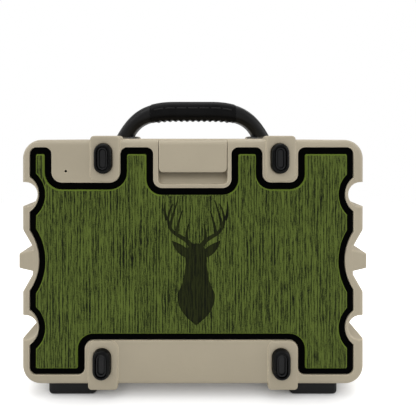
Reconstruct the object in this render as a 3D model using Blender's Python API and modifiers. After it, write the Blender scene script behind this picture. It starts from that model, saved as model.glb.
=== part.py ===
"""Rugged outdoor loudspeaker that works as an electronic game caller.

The grille faces -Y, the mat-covered back faces +Y and +Z is up. The origin lies on the plane that the
feet rest on, below the middle of the case. Dimensions are given in millimetres and the builders below
turn them into metres; heights marked "above the case" start at the underside of the case.
"""

import math

import bmesh
import bpy
from mathutils import Matrix, Vector

MM = 0.001
GAP = 0.3  # clearance between neighbouring pieces

# Case
HALF_W = 147.4
CASE_H = 211.0
FEET_H = 12.0
CORNER_R = 16.0
EDGE_R = 4.0
WALL = 4.0
FRONT_Y = -62.0
BACK_Y = 62.0
SPLIT_Y = -46.0  # plane of the gasket between the two shells
GASKET = 1.0
BOTTOM = FEET_H
TOP = FEET_H + CASE_H
MIDDLE = FEET_H + CASE_H / 2
LUG_BACK_Y = -25.0  # the screw posts of the back shell end here

# Side details, as heights above the case
NOTCH_HEIGHTS = (49.5, 164.0)
NOTCH_X = 144.2
NOTCH_R = 10.6
SCREW_X = 139.7
RIB_H = 107.0
RIB_ROOT, RIB_TIP, RIB_X = 9.5, 6.4, 149.5
SCALLOP_X = 138.0
SCALLOP_HALF, SCALLOP_SLOPE = 12.0, 1.75
LUG_X = 144.0
LUG_FRONT_Y = -50.0
MIC_X = 109.3
MIC_Z = BOTTOM + 184.0
FOOT_X = (84.5, 126.5)

# Rails over the top and bottom edges
RAIL_X, RAIL_HALF = 75.5, 12.5
RAIL_RISE = 3.5
PAD_BACK_Y = 63.2
TOP_PADS = ((62.8, 88.2), (TOP - 36.0, TOP + RAIL_RISE - 0.1))  # raised pads behind the bumpers
LOW_PADS = ((64.4, 90.0), (BOTTOM - RAIL_RISE, BOTTOM + 38.6))
PAD_CORNER_R = 6.5
DECK_RISE = 0.9
DECK_HALF = 87.0
DECK_BACK_Y = 44.0
RAIL_BACK_Y = (42.0, BACK_Y - 1.0)  # the rails rise again behind the handle
RAIL_ROUND = 3.0

# Back mat
RECESS_Y = 58.0
MAT_BASE_Y = (58.3, 61.3)
MAT_FACE_Y = (61.6, 63.2)
MAT_SIDES = (-137.8, 140.2)  # the mat and the bumpers lie a little off the middle
BACK_SHIFT = 1.2
MAT_BORDER = 5.5
BUMPER_Y = (60.3, 67.5)
BUMPER_LENGTH, BUMPER_WIDTH = 25.8, 15.2
BUMPER_PLACES = ((76.6, BOTTOM + 19.7), (75.5, BOTTOM + 195.0))

# Oval front, as half sizes
BEZEL_OUT, BEZEL_IN = (132.4, 96.6), (119.8, 86.0)
POCKET = (121.6, 87.9)
THROAT = (107.0, 74.0)
BEZEL_Y = (-67.5, -62.3)
BEZEL_SEAT_Y = FRONT_Y + 0.15
PAD_REACH = 5.5
LEDGE_Y = -50.4
FLANGE_Y = (-53.2, -50.7)
SCREW_OVAL = (110.3, 77.3)
CONE_OVAL, CONE_NECK = (88.0, 57.0), 26.7
CONE_FRONT_Y, CONE_BACK_Y = -52.4, -20.4
GRILLE_Y = (-61.8, -58.8)
SLOT_PITCH_X, SLOT_PITCH_Z, SLOT_H = 28.7, 14.2, 8.4
SLOT_LEN = 24.0
SLOT_OVAL = (117.0, 77.0)
DOME_R = 26.7

# Port door
DOOR_HALF = 29.3
PIN_Y, PIN_R = 58.0, 1.5
PIN_Z = TOP - 4.7
KNUCKLE_R = 4.4
DOOR_LOW = BOTTOM + 183.0
RECESS_LOW = BOTTOM + 172.8
RECESS_FLOOR_Y = 52.4
PORT_WALL_Y = 44.0
PORT_XS = (-24.0, 24.0)
PORT_ZS = (BOTTOM + 187.3, BOTTOM + 198.8)

# Handle
HANDLE_Y = -28.0
HANDLE_DEPTH = 28.0
LEG_OUT, LEG_IN = 83.8, 66.3
BOLT_X = 69.5
ARCH_OUT, ARCH_IN = 38.2, 18.8
PLATE_THICK = 1.2
PLATE_Z = (TOP + DECK_RISE + GAP, TOP + DECK_RISE + GAP + PLATE_THICK)
PLATE_XS = (61.5, 85.5)
LEG_BORE = 15.6  # depth of the bolt bore above the foot of a leg
LEG_Z = PLATE_Z[1] + GAP
GRIP_HALF = 46.0
GRIP_SWELL = 0.4  # the grip stands this proud of the legs

# Keys
KEY_Y = 12.0
KEY_PITCH = 22.0
KEY_TOP = TOP + DECK_RISE - 0.1
PANEL_SINK = 0.2  # the control plate lies this far below the deck
PANEL_THICK = 1.7
KEYS = ("power_key", "volume_down_key", "play_key", "volume_up_key", "pairing_key")

TAN = ((0.385, 0.33, 0.25), 0.55, 0.0)
BLACK_RUBBER = ((0.012, 0.012, 0.013), 0.7, 0.0)
BLACK_PLASTIC = ((0.02, 0.02, 0.022), 0.45, 0.0)
STEEL = ((0.6, 0.6, 0.6), 0.3, 1.0)
FERRITE = ((0.03, 0.03, 0.032), 0.6, 0.2)
CONE_RED = ((0.35, 0.07, 0.03), 0.65, 0.0)
FOAM_BLACK = ((0.004, 0.004, 0.004), 0.9, 0.0)
FOAM_GREEN = ((0.08, 0.11, 0.025), 0.85, 0.0)
BOARD_GREEN = ((0.006, 0.03, 0.016), 0.5, 0.0)
ALUMINIUM = ((0.55, 0.56, 0.58), 0.35, 1.0)
WRAP_BLUE = ((0.03, 0.08, 0.25), 0.4, 0.0)


def make_collection(name):
    group = bpy.data.collections.new(name)
    bpy.context.scene.collection.children.link(group)
    return group


def clear_scene():
    for item in list(bpy.data.objects):
        bpy.data.objects.remove(item, do_unlink=True)


# ---------------------------------------------------------------- shape builders


def add_object(name, mesh):
    item = bpy.data.objects.new(name, mesh)
    bpy.context.scene.collection.objects.link(item)
    return item


def finish_bmesh(name, bm):
    mesh = bpy.data.meshes.new(name)
    bmesh.ops.recalc_face_normals(bm, faces=bm.faces)
    bm.to_mesh(mesh)
    bm.free()
    return add_object(name, mesh)


def box(name, xs, ys, zs, round_axis=None, radius=0.0, segments=3):
    """A block between the given limits; edges along round_axis are rounded."""
    bm = bmesh.new()
    bmesh.ops.create_cube(bm, size=1.0)
    low = Vector((xs[0], ys[0], zs[0])) * MM
    high = Vector((xs[1], ys[1], zs[1])) * MM
    for vert in bm.verts:
        vert.co = Vector(high[i] if vert.co[i] > 0 else low[i] for i in range(3))
    if radius:
        axis = "XYZ".index(round_axis)
        edges = [e for e in bm.edges if abs((e.verts[0].co - e.verts[1].co)[axis]) > 1e-6]
        bmesh.ops.bevel(bm, geom=edges, offset=radius * MM, segments=segments, profile=0.5, affect="EDGES")
    return finish_bmesh(name, bm)


def round_rim(item, y, radius, segments=2):
    """Rounds the edges that lie in the plane of y."""
    bm = bmesh.new()
    bm.from_mesh(item.data)
    bmesh.ops.dissolve_limit(bm, angle_limit=0.01, verts=bm.verts, edges=bm.edges)
    edges = [e for e in bm.edges if all(abs(v.co.y - y * MM) < 1e-6 for v in e.verts)]
    bmesh.ops.bevel(bm, geom=edges, offset=radius * MM, segments=segments, profile=0.5, affect="EDGES")
    bmesh.ops.recalc_face_normals(bm, faces=bm.faces)
    bm.to_mesh(item.data)
    bm.free()
    return item


def rod(name, radius, start, end, segments=16):
    """A straight round bar between two points."""
    start, end = Vector(start) * MM, Vector(end) * MM
    bm = bmesh.new()
    bmesh.ops.create_cone(
        bm,
        cap_ends=True,
        segments=segments,
        radius1=radius * MM,
        radius2=radius * MM,
        depth=(end - start).length,
    )
    turn = (end - start).to_track_quat("Z", "Y").to_matrix().to_4x4()
    bmesh.ops.transform(bm, matrix=Matrix.Translation((start + end) / 2) @ turn, verts=bm.verts)
    return finish_bmesh(name, bm)


def as_mesh(holder):
    """The object as evaluated, as a new mesh object in the same place."""
    graph = bpy.context.evaluated_depsgraph_get()
    mesh = bpy.data.meshes.new_from_object(holder.evaluated_get(graph))
    mesh.transform(holder.matrix_world)
    name = holder.name
    bpy.data.objects.remove(holder, do_unlink=True)
    bm = bmesh.new()
    bm.from_mesh(mesh)
    bmesh.ops.remove_doubles(bm, verts=bm.verts, dist=1e-6)
    bmesh.ops.recalc_face_normals(bm, faces=bm.faces)
    bm.to_mesh(mesh)
    bm.free()
    item = add_object(name, mesh)
    item.name = name
    return item


def plate(name, outlines, span, axis="Y"):
    """A flat plate across the Y or the Z axis: the first outline bounds it and the others are holes."""
    curve = bpy.data.curves.new(name, "CURVE")
    curve.dimensions = "2D"
    curve.fill_mode = "BOTH"
    curve.extrude = (span[1] - span[0]) / 2 * MM
    for outline in outlines:
        spline = curve.splines.new("POLY")
        spline.points.add(len(outline) - 1)
        for point, (across, up) in zip(spline.points, outline):
            point.co = (across * MM, up * MM, 0.0, 1.0)
        spline.use_cyclic_u = True
    holder = add_object(name, curve)
    middle = sum(span) / 2 * MM
    if axis == "Y":
        holder.matrix_world = Matrix.Translation((0, middle, 0)) @ Matrix.Rotation(math.pi / 2, 4, "X")
    else:
        holder.matrix_world = Matrix.Translation((0, 0, middle))
    bpy.context.view_layer.update()
    return as_mesh(holder)


def turned(name, profile, centre, steps=24, closed=False, axis="Y"):
    """A turned piece: profile points are (radius, distance towards the front or the top)."""
    mesh = bpy.data.meshes.new(name)
    points = [(radius * MM, 0.0, along * MM) for radius, along in profile]
    edges = [(i, i + 1) for i in range(len(points) - 1)]
    if closed:
        edges.append((len(points) - 1, 0))
    mesh.from_pydata(points, edges, [])
    holder = add_object(name, mesh)
    screw = holder.modifiers.new("turn", "SCREW")
    screw.steps = screw.render_steps = steps
    screw.use_merge_vertices = True
    screw.merge_threshold = 0.000001
    turn = Matrix.Rotation(math.pi / 2, 4, "X") if axis == "Y" else Matrix.Identity(4)
    holder.matrix_world = Matrix.Translation(Vector(centre) * MM) @ turn
    bpy.context.view_layer.update()
    return as_mesh(holder)


def oval_sweep(name, profile, steps=40, height=MIDDLE):
    """A closed section carried round the oval: section points are (half width, half height, y)."""
    bm = bmesh.new()
    rings = []
    for step in range(steps):
        angle = math.tau * step / steps
        rings.append(
            [
                bm.verts.new((w * math.cos(angle) * MM, y * MM, (height + h * math.sin(angle)) * MM))
                for w, h, y in profile
            ]
        )
    count = len(profile)
    for step in range(steps):
        here, there = rings[step], rings[(step + 1) % steps]
        for i in range(count):
            j = (i + 1) % count
            bm.faces.new((here[i], here[j], there[j], there[i]))
    return finish_bmesh(name, bm)


def band(outer, inner, ys):
    """The section of a flat oval ring for oval_sweep."""
    return [(*outer, ys[0]), (*inner, ys[0]), (*inner, ys[1]), (*outer, ys[1])]


# ---------------------------------------------------------------- outlines


def rounded(corners, segments=3):
    """An outline from (x, z, radius) corners, each turned into an arc."""
    outline = []
    count = len(corners)
    for i, (x, z, radius) in enumerate(corners):
        here = Vector((x, z))
        before = (Vector(corners[i - 1][:2]) - here).normalized()
        after = (Vector(corners[(i + 1) % count][:2]) - here).normalized()
        if radius == 0:
            outline.append((x, z))
            continue
        half = before.angle(after) / 2
        reach = radius / math.tan(half)
        centre = here + (before + after).normalized() * (radius / math.sin(half))
        start = here + before * reach - centre
        sweep = start.angle_signed(here + after * reach - centre)
        for step in range(segments + 1):
            spin = Matrix.Rotation(-sweep * step / segments, 2)
            outline.append(tuple(centre + spin @ start))
    return outline


def pill(x, z, length, height, segments=4, upright=False):
    """A slot with round ends, centred on (x, z)."""
    radius = height / 2
    half = length / 2 - radius
    outline = []
    for side, first in ((1, -90), (-1, 90)):
        for step in range(segments + 1):
            angle = math.radians(first + 180 * step / segments)
            outline.append((side * half + radius * math.cos(angle), radius * math.sin(angle)))
    if upright:
        outline = [(-b, a) for a, b in outline]
    return [(x + a, z + b) for a, b in outline]


def oval(half_w, half_h, steps=40, height=MIDDLE):
    return [
        (half_w * math.cos(math.tau * i / steps), height + half_h * math.sin(math.tau * i / steps))
        for i in range(steps)
    ]


def arc_notch(side, height, radius, depth, edge, segments=6):
    """Points of a round bite out of a side edge, from its top to its bottom on the +X side."""
    centre = edge - depth + radius
    half = math.acos((radius - depth) / radius)
    points = []
    for step in range(segments + 1):
        angle = half - 2 * half * step / segments
        points.append((side * (centre - radius * math.cos(angle)), height + radius * math.sin(angle)))
    return points if side > 0 else points[::-1]


def mat_outline(inset):
    """Outline of the back mat, seen with +X to the right; inset > 0 shrinks it and < 0 grows it."""
    left_edge, right_edge = MAT_SIDES[0] + inset, MAT_SIDES[1] - inset
    high, low = BOTTOM + 204.2 - inset, BOTTOM + 9.3 + inset
    tabs = ((121.9, 62.1, 173.8, 9.5), (34.5, -33.5, 169.2, 8.0), (-59.6, -90.7, 174.0, 7.5))
    outer_r = max(5.6 - inset, 1.5)
    corners = [(right_edge, high, outer_r)]
    for right, left, depth, radius in tabs:
        floor = BOTTOM + depth - inset
        corners += [
            (right + inset, high, outer_r),
            (right + inset, floor, radius + inset),
            (left - inset, floor, radius + inset),
            (left - inset, high, outer_r),
        ]
    corners.append((left_edge, high, outer_r))
    panel = BOTTOM + 39.1 + inset
    lower = [
        (left_edge, low, outer_r),
        (-90.7 - inset, low, outer_r),
        (-90.7 - inset, panel, 8.0 + inset),
        (93.3 + inset, panel, 8.0 + inset),
        (93.3 + inset, low, outer_r),
        (right_edge, low, outer_r),
    ]
    bites = (
        (BOTTOM + NOTCH_HEIGHTS[1], 18.7 + inset, 7.2),
        (BOTTOM + RIB_H, 46.0 + inset, 7.4),
        (BOTTOM + NOTCH_HEIGHTS[0], 18.7 + inset, 7.2),
    )
    left_side, right_side = [], []
    for height, radius, depth in bites:
        left_side += arc_notch(-1, height, radius, depth, -left_edge)[::-1]
    for height, radius, depth in reversed(bites):
        right_side += arc_notch(1, height, radius, depth + 0.7, right_edge)[::-1]
    upper_arcs = rounded(corners + lower)
    split = next(i for i, point in enumerate(upper_arcs) if point[0] < 0 and point[1] < MIDDLE)
    return upper_arcs[:split] + left_side + upper_arcs[split:] + right_side


def bezier(corners, steps):
    """Points of a smooth line that starts and ends at the outer control points."""
    degree = len(corners) - 1
    points = []
    for step in range(steps + 1):
        t = step / steps
        weights = [math.comb(degree, i) * t**i * (1 - t) ** (degree - i) for i in range(degree + 1)]
        points.append(tuple(sum(w * c[axis] for w, c in zip(weights, corners)) for axis in (0, 1)))
    return points


def arch_outline(out_x, in_x, out_z, in_z, foot, steps=10):
    """The handle arch seen from the front: legs that lean in, round shoulders and a flat bar."""
    outer = [(out_x, 0), (out_x - 13.8, 0.665 * out_z), (out_x - 28.8, out_z), (20, out_z)]
    inner = [(in_x, 0), (in_x - 7.3, 0.707 * in_z), (in_x - 16.3, in_z), (18, in_z)]
    outline = []
    for controls, side in ((outer, 1), (inner, -1)):
        half = bezier(controls, steps)
        mirrored = [(-x, z) for x, z in reversed(half)]
        outline += (half + mirrored)[::side]
    return [(x, foot + z) for x, z in outline]


# ---------------------------------------------------------------- booleans


def combine(target, operation, *others):
    for other in others:
        step = target.modifiers.new(other.name, "BOOLEAN")
        step.operation = operation
        step.object = other
        tools.append(other)
    return target


def cut(target, *others):
    return combine(target, "DIFFERENCE", *others)


def join(target, *others):
    return combine(target, "UNION", *others)


# ---------------------------------------------------------------- case


def side_slots(tag, ys, grow=0.0):
    """The four side pockets as round-ended slots open to the outside."""
    cutters = []
    height = 2 * (NOTCH_R + grow)
    for side in (-1, 1):
        for above in NOTCH_HEIGHTS:
            outline = pill(side * (NOTCH_X + 20), BOTTOM + above, 40 + height, height, 6)
            cutters.append(plate(f"side_slot_{tag}", [outline], ys))
    return cutters


def scallops(tag, ys, grow=0.0):
    """The cuts above and below each side rib, which slope in from the side to the rib's root."""
    mid = BOTTOM + RIB_H
    inner_x, outer_x = SCALLOP_X - grow, HALF_W + 14
    inner_half = SCALLOP_HALF + 0.27 * grow
    outer_half = inner_half + SCALLOP_SLOPE * (outer_x - inner_x)
    cutters = []
    for side in (-1, 1):
        outline = [
            (side * outer_x, mid + outer_half),
            (side * inner_x, mid + inner_half),
            (side * inner_x, mid - inner_half),
            (side * outer_x, mid - outer_half),
        ]
        cutters.append(plate(f"scallop_{tag}", [outline], ys))
    return cutters


def side_ribs(tag, ys):
    mid = BOTTOM + RIB_H
    ribs = []
    for side in (-1, 1):
        outline = [
            (side * (SCALLOP_X - 2), mid + RIB_ROOT),
            (side * (SCALLOP_X - 2), mid - RIB_ROOT),
            (side * RIB_X, mid - RIB_TIP),
            (side * RIB_X, mid + RIB_TIP),
        ]
        ribs.append(plate(f"rib_{tag}", [outline], ys))
    return ribs


def screw_places():
    return [(side * SCREW_X, BOTTOM + above) for side in (-1, 1) for above in NOTCH_HEIGHTS]


def lug_trims(tag, ys):
    """Square off the screw lugs inside the side pockets."""
    cutters = []
    for x, z in screw_places():
        xs = sorted((math.copysign(LUG_X, x), math.copysign(HALF_W + 4, x)))
        cutters.append(box(f"lug_trim_{tag}", xs, ys, (z - NOTCH_R - GAP, z + NOTCH_R + GAP)))
    return cutters


def case_screw_holes(tag):
    return [rod(f"screw_hole_{tag}", 3.0, (x, -60, z), (x, -27, z), 12) for x, z in screw_places()]


def cavity(tag, ys, wall=WALL):
    """The hollow of the case, drawn in behind the side pockets and scallops."""
    half = HALF_W - wall
    hollow = box(f"cavity_{tag}", (-half, half), ys, (BOTTOM + wall, TOP - wall), "Y", CORNER_R - wall, 4)
    around = (ys[0] - 5, ys[1] + 5)
    cut(hollow, *side_slots(f"{tag}_wall", around, wall))
    cut(hollow, *scallops(f"{tag}_wall", around, wall))
    return hollow


def rear_pads(ys):
    """Raised pads behind the bumpers, with round corners towards the middle of the back."""
    made = []
    for (near, far), (low, high) in (TOP_PADS, LOW_PADS):
        at_top = low > MIDDLE
        low_r, high_r = (PAD_CORNER_R, RAIL_ROUND) if at_top else (RAIL_ROUND, PAD_CORNER_R)
        for side in (-1, 1):
            corners = [(near, high, high_r), (far, high, high_r), (far, low, low_r), (near, low, low_r)]
            made.append(plate("rear_pad", [rounded([(side * x, z, r) for x, z, r in corners])], ys))
    return made


def rails(tag, ys, zs):
    """A pair of blocks that follow the rails over the case."""
    made = []
    for side in (-1, 1):
        xs = (side * RAIL_X - RAIL_HALF, side * RAIL_X + RAIL_HALF)
        made.append(box(f"rail_{tag}", xs, ys, zs, "Y", RAIL_ROUND, 3))
    return made


def pad_outline(side, up, grow=0.0):
    """One raised pad of the bezel, between two ovals and the sides of a rail."""
    low, high = RAIL_X - RAIL_HALF - grow, RAIL_X + RAIL_HALF + grow
    outline = []
    for reach, places in ((PAD_REACH + grow, (low, high)), (-4.0 - grow, (high, low))):
        width, height = BEZEL_OUT[0] + reach, BEZEL_OUT[1] + reach
        for step in range(5):
            x = places[0] + (places[1] - places[0]) * step / 4
            outline.append((side * x, MIDDLE + up * height * math.sqrt(1 - (x / width) ** 2)))
    return outline


def bezel_pads(tag, ys, grow=0.0):
    corners = [(side, up) for side in (-1, 1) for up in (-1, 1)]
    return [plate(f"pad_{tag}", [pad_outline(side, up, grow)], ys) for side, up in corners]


def woofer_screw_places():
    """Four places on the woofer's flange."""
    angle = math.radians(42)
    x, z = SCREW_OVAL[0] * math.cos(angle), SCREW_OVAL[1] * math.sin(angle)
    return [(side * x, MIDDLE + up * z) for side in (-1, 1) for up in (-1, 1)]


def make_front_housing():
    back = SPLIT_Y - GASKET / 2 - GAP
    beyond = FRONT_Y - 10
    shell = box("front_housing", (-HALF_W, HALF_W), (FRONT_Y, back), (BOTTOM, TOP), "Y", CORNER_R, 5)
    round_rim(shell, FRONT_Y, EDGE_R)
    join(shell, *rails("front_top", (FRONT_Y - RAIL_RISE, back), (TOP - 30, TOP + RAIL_RISE)))
    join(shell, *rails("front_low", (FRONT_Y - RAIL_RISE, FRONT_Y + 5), (BOTTOM - RAIL_RISE, BOTTOM + 30)))
    join(shell, box("deck_front", (-DECK_HALF, DECK_HALF), (FRONT_Y + 6, back), (TOP - 2, TOP + DECK_RISE)))
    cut(shell, cavity("front", (FRONT_Y + WALL, back + 20)))
    join(shell, plate("baffle_ring", [oval(POCKET[0] + 6, POCKET[1] + 6)], (FRONT_Y + 2, back)))
    cut(shell, *side_slots("front", (beyond, LUG_FRONT_Y)))
    cut(shell, *lug_trims("front", (LUG_FRONT_Y - 1, back + 5)))
    cut(shell, *case_screw_holes("front"))
    cut(shell, *scallops("front", (beyond, back + 5)))
    join(shell, *side_ribs("front", (FRONT_Y + 1, back)))
    cut(shell, plate("grille_pocket", [oval(*POCKET)], (beyond, LEDGE_Y)))
    seat = [oval(BEZEL_OUT[0] + GAP, BEZEL_OUT[1] + GAP)]
    cut(shell, plate("bezel_seat", seat, (beyond, BEZEL_SEAT_Y)))
    cut(shell, *bezel_pads("seat", (beyond, BEZEL_SEAT_Y + 0.1), GAP))
    cut(shell, plate("throat", [oval(*THROAT)], (beyond, back + 10)))
    for x, z in woofer_screw_places():
        cut(shell, rod("woofer_screw_hole", 1.9, (x, LEDGE_Y - 5, z), (x, back + 5, z), 10))
    return shell


def make_rear_housing():
    front = SPLIT_Y + GASKET / 2 + GAP
    beyond = BACK_Y + 10
    shell = box("rear_housing", (-HALF_W, HALF_W), (front, BACK_Y), (BOTTOM, TOP), "Y", CORNER_R, 5)
    round_rim(shell, BACK_Y, EDGE_R)
    join(shell, *rails("rear_top", RAIL_BACK_Y, (TOP - 30, TOP + RAIL_RISE)))
    join(shell, *rear_pads((RECESS_Y - 0.2, PAD_BACK_Y)))
    join(shell, box("deck_rear", (-DECK_HALF, DECK_HALF), (front, DECK_BACK_Y), (TOP - 2, TOP + DECK_RISE)))

    hollow = cavity("rear", (front - 10, RECESS_Y - WALL))
    port_wall = (-DOOR_HALF - 5, DOOR_HALF + 5), (PORT_WALL_Y, 80), (RECESS_LOW - 5, TOP + 9)
    cut(hollow, box("port_wall", *port_wall))
    cut(shell, hollow)

    cut(shell, *side_slots("rear", (LUG_BACK_Y, beyond)))
    cut(shell, *lug_trims("rear", (front - 5, LUG_BACK_Y + 1)))
    cut(shell, *case_screw_holes("rear"))
    cut(shell, *scallops("rear", (front - 5, beyond)))
    join(shell, *side_ribs("rear", (front, BACK_Y)))

    cut(shell, plate("mat_recess", [mat_outline(-0.4)], (RECESS_Y, beyond)))
    for place in bumper_places():
        cut(shell, plate("bumper_seat", [bumper_outline(place, GAP)], (BUMPER_Y[0] - GAP, beyond)))
    cut(shell, rod("sound_hole", 1.2, (MIC_X, 50, MIC_Z), (MIC_X, beyond, MIC_Z), 10))

    half = DOOR_HALF + 0.5
    corners = [(-half, TOP + 9, 0), (half, TOP + 9, 0), (half, RECESS_LOW, 4), (-half, RECESS_LOW, 4)]
    cut(shell, plate("port_recess", [rounded(corners)], (RECESS_FLOOR_Y, beyond)))
    join(shell, port_scoop())
    cut(shell, box("port_window", PORT_XS, (PORT_WALL_Y - 5, RECESS_FLOOR_Y + 5), PORT_ZS))
    pin_reach = DOOR_HALF + 3.3
    cut(shell, rod("pin_bore", PIN_R + GAP, (-pin_reach, PIN_Y, PIN_Z), (pin_reach, PIN_Y, PIN_Z), 12))

    deck = TOP + DECK_RISE
    seat = deck - PANEL_SINK - PANEL_THICK - GAP
    cut(shell, plate("control_seat", [control_outline(GAP)], (seat, deck + 9), "Z"))
    for place in range(len(KEYS)):
        cut(shell, plate("key_well", [key_outline(place, 0.5)], (TOP - 20, deck + 9), "Z"))
    for side in (-1, 1):
        x = side * BOLT_X
        cut(shell, rod("handle_bolt_hole", 3.2, (x, HANDLE_Y, TOP - 12), (x, HANDLE_Y, TOP + 12), 12))
    return shell


def port_scoop():
    """The ramp below the door, which leads a finger in behind its lower edge."""
    reach = DOOR_HALF + 1.0
    ys, zs = (RECESS_FLOOR_Y - 1, BACK_Y - 2), (RECESS_LOW - 1, DOOR_LOW - 0.5)
    ramp = box("port_scoop", (-reach, reach), ys, zs)
    for vert in ramp.data.vertices:
        if vert.co.y > RECESS_FLOOR_Y * MM and vert.co.z > (RECESS_LOW + 1) * MM:
            vert.co.y = (RECESS_FLOOR_Y + 0.3) * MM
    return ramp


def make_gasket():
    """Flat seal between the two shells."""
    span = (SPLIT_Y - GASKET / 2, SPLIT_Y + GASKET / 2)
    half, around = HALF_W - 0.8, (SPLIT_Y - 5, SPLIT_Y + 5)
    seal = box("housing_gasket", (-half, half), span, (BOTTOM + 0.8, TOP - 0.8), "Y", CORNER_R - 0.8, 5)
    cut(seal, cavity("gasket", around))
    cut(seal, *lug_trims("gasket", around))
    cut(seal, *case_screw_holes("gasket"))
    cut(seal, *scallops("gasket", around, 0.8))
    return seal


def make_case_screw(x, z, number):
    """Socket-head screw with its head in a side pocket."""
    profile = [(0, 1.8), (2.6, 1.8), (2.6, 4), (5.0, 4), (5.6, 3.4), (5.6, 0), (2.6, 0), (2.6, -19), (0, -19)]
    return turned(f"case_screw_{number}", profile, (x, LUG_FRONT_Y - GAP, z), 16)


# ---------------------------------------------------------------- back: mat, bumpers and port


def make_mat():
    base = plate("mat_base", [mat_outline(0.0)], MAT_BASE_Y)
    face = plate("mat_face", [mat_outline(MAT_BORDER)], MAT_FACE_Y)
    return base, face


def bumper_places():
    return [(side * x + BACK_SHIFT, z) for x, z in BUMPER_PLACES for side in (-1, 1)]


def bumper_outline(place, grow=0.0):
    return pill(*place, BUMPER_LENGTH + 2 * grow, BUMPER_WIDTH + 2 * grow, 5, upright=True)


def make_bumper(place, number):
    pad = plate(f"rear_bumper_{number}", [bumper_outline(place)], BUMPER_Y)
    round_rim(pad, BUMPER_Y[1], 2.0)
    hollow = plate("bumper_hollow", [pill(*place, 17.5, 7.0, 4, upright=True)], (BUMPER_Y[1] - 2.6, 80))
    return cut(pad, hollow)


def make_port_door():
    """Flap with a hinge barrel along its upper edge and a rubber seal on its inner face."""
    outer_y = PIN_Y + KNUCKLE_R
    corners = [
        (-DOOR_HALF, PIN_Z, 0),
        (DOOR_HALF, PIN_Z, 0),
        (DOOR_HALF, DOOR_LOW, 4),
        (-DOOR_HALF, DOOR_LOW, 4),
    ]
    door = plate("port_door", [rounded(corners)], (outer_y - 4, outer_y))
    ends = ((-DOOR_HALF, PIN_Y, PIN_Z), (DOOR_HALF, PIN_Y, PIN_Z))
    join(door, rod("door_barrel", KNUCKLE_R, *ends, 20))
    beyond = DOOR_HALF + 5
    cut(door, rod("door_bore", PIN_R + GAP, (-beyond, PIN_Y, PIN_Z), (beyond, PIN_Y, PIN_Z), 12))
    reach = DOOR_HALF + 3
    pin = rod("port_hinge_pin", PIN_R, (-reach, PIN_Y, PIN_Z), (reach, PIN_Y, PIN_Z), 12)

    outline, inside = [], []
    for group, inset in ((outline, 0.0), (inside, 2.2)):
        xs, zs = 26.8 - inset, (DOOR_LOW + 1.5 + inset, PIN_Z - 5.0 - inset)
        group += rounded([(-xs, zs[1], 2), (xs, zs[1], 2), (xs, zs[0], 2), (-xs, zs[0], 2)], 2)
    seal = plate("port_door_seal", [outline, inside], (RECESS_FLOOR_Y + 0.4, outer_y - 4 - GAP))
    return door, pin, seal


def make_ports():
    """Plate behind the door with its two sockets."""
    xs = (PORT_XS[0] + GAP, PORT_XS[1] - GAP)
    zs = (PORT_ZS[0] + GAP, PORT_ZS[1] - GAP)
    mid = sum(PORT_ZS) / 2
    panel = box("port_plate", xs, (46, 49), zs, "Y", 1.0, 2)
    cut(panel, box("usb_slot", (3.7, 18.3), (40, 60), (mid - 3.5, mid + 3.5)))
    cut(panel, rod("charge_bore", 4.2, (-11, 40, mid), (-11, 60, mid), 16))
    usb = box("usb_socket", (4, 18), (40, 50), (mid - 3.2, mid + 3.2), "Y", 0.6, 2)
    cut(usb, box("usb_mouth", (4.8, 17.2), (43, 60), (mid - 2.4, mid + 2.4)))
    profile = [(0, -44), (2.8, -44), (2.8, -50.4), (3.9, -50.4), (3.9, -40), (0, -40)]
    charge = turned("charge_socket", profile[::-1], (-11, 0, mid), 16)
    return panel, usb, charge


# ---------------------------------------------------------------- oval front and woofer


def slot_spans(row):
    """Left and right ends of the grille slots of one row, counted from the middle row."""
    z = row * SLOT_PITCH_Z
    start = 0.0 if row % 2 else 0.5
    outer = SLOT_OVAL[0] * math.sqrt(max(0.0, 1 - (z / SLOT_OVAL[1]) ** 2))
    inner = 38.2 - 0.84 * abs(z) if abs(z) < DOME_R + 4.8 else None
    spans = []
    for place in range(-4, 5):
        centre = (place + start) * SLOT_PITCH_X
        side = -1 if centre < 0 else 1
        near, far = abs(centre) - SLOT_LEN / 2, min(abs(centre) + SLOT_LEN / 2, outer)
        if inner is not None:
            near = max(near, inner)
        if far - near > 1.25 * SLOT_H:
            spans.append((side * (near + far) / 2, far - near))
    return spans


def make_grille():
    outlines = [oval(POCKET[0] - GAP, POCKET[1] - GAP)]
    for row in range(-5, 6):
        for x, length in slot_spans(row):
            outlines.append(pill(x, MIDDLE + row * SLOT_PITCH_Z, length, SLOT_H, 3))
    outlines.append([(20 * math.cos(a), MIDDLE + 20 * math.sin(a)) for a in turns(24)])
    return plate("grille", outlines, GRILLE_Y)


def turns(count):
    return [math.tau * i / count for i in range(count)]


def make_tweeter_cover():
    """Round cover with rings of sound holes."""
    outlines = [[(DOME_R * math.cos(a), MIDDLE + DOME_R * math.sin(a)) for a in turns(32)]]
    for ring in range(4):
        for angle in turns(max(1, 6 * ring)):
            x, z = 7.2 * ring * math.cos(angle), MIDDLE + 7.2 * ring * math.sin(angle)
            outlines.append([(x + 1.2 * math.cos(a), z + 1.2 * math.sin(a)) for a in turns(6)])
    return plate("tweeter_cover", outlines, (-64.5, GRILLE_Y[0] - GAP))


def make_bezel():
    ring = plate("grille_bezel", [oval(*BEZEL_OUT), oval(*BEZEL_IN)], BEZEL_Y)
    join(ring, *bezel_pads("bezel", BEZEL_Y))
    return ring


def blend_oval(outer, inner, share):
    return [a + (b - a) * share for a, b in zip(outer, inner)]


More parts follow.
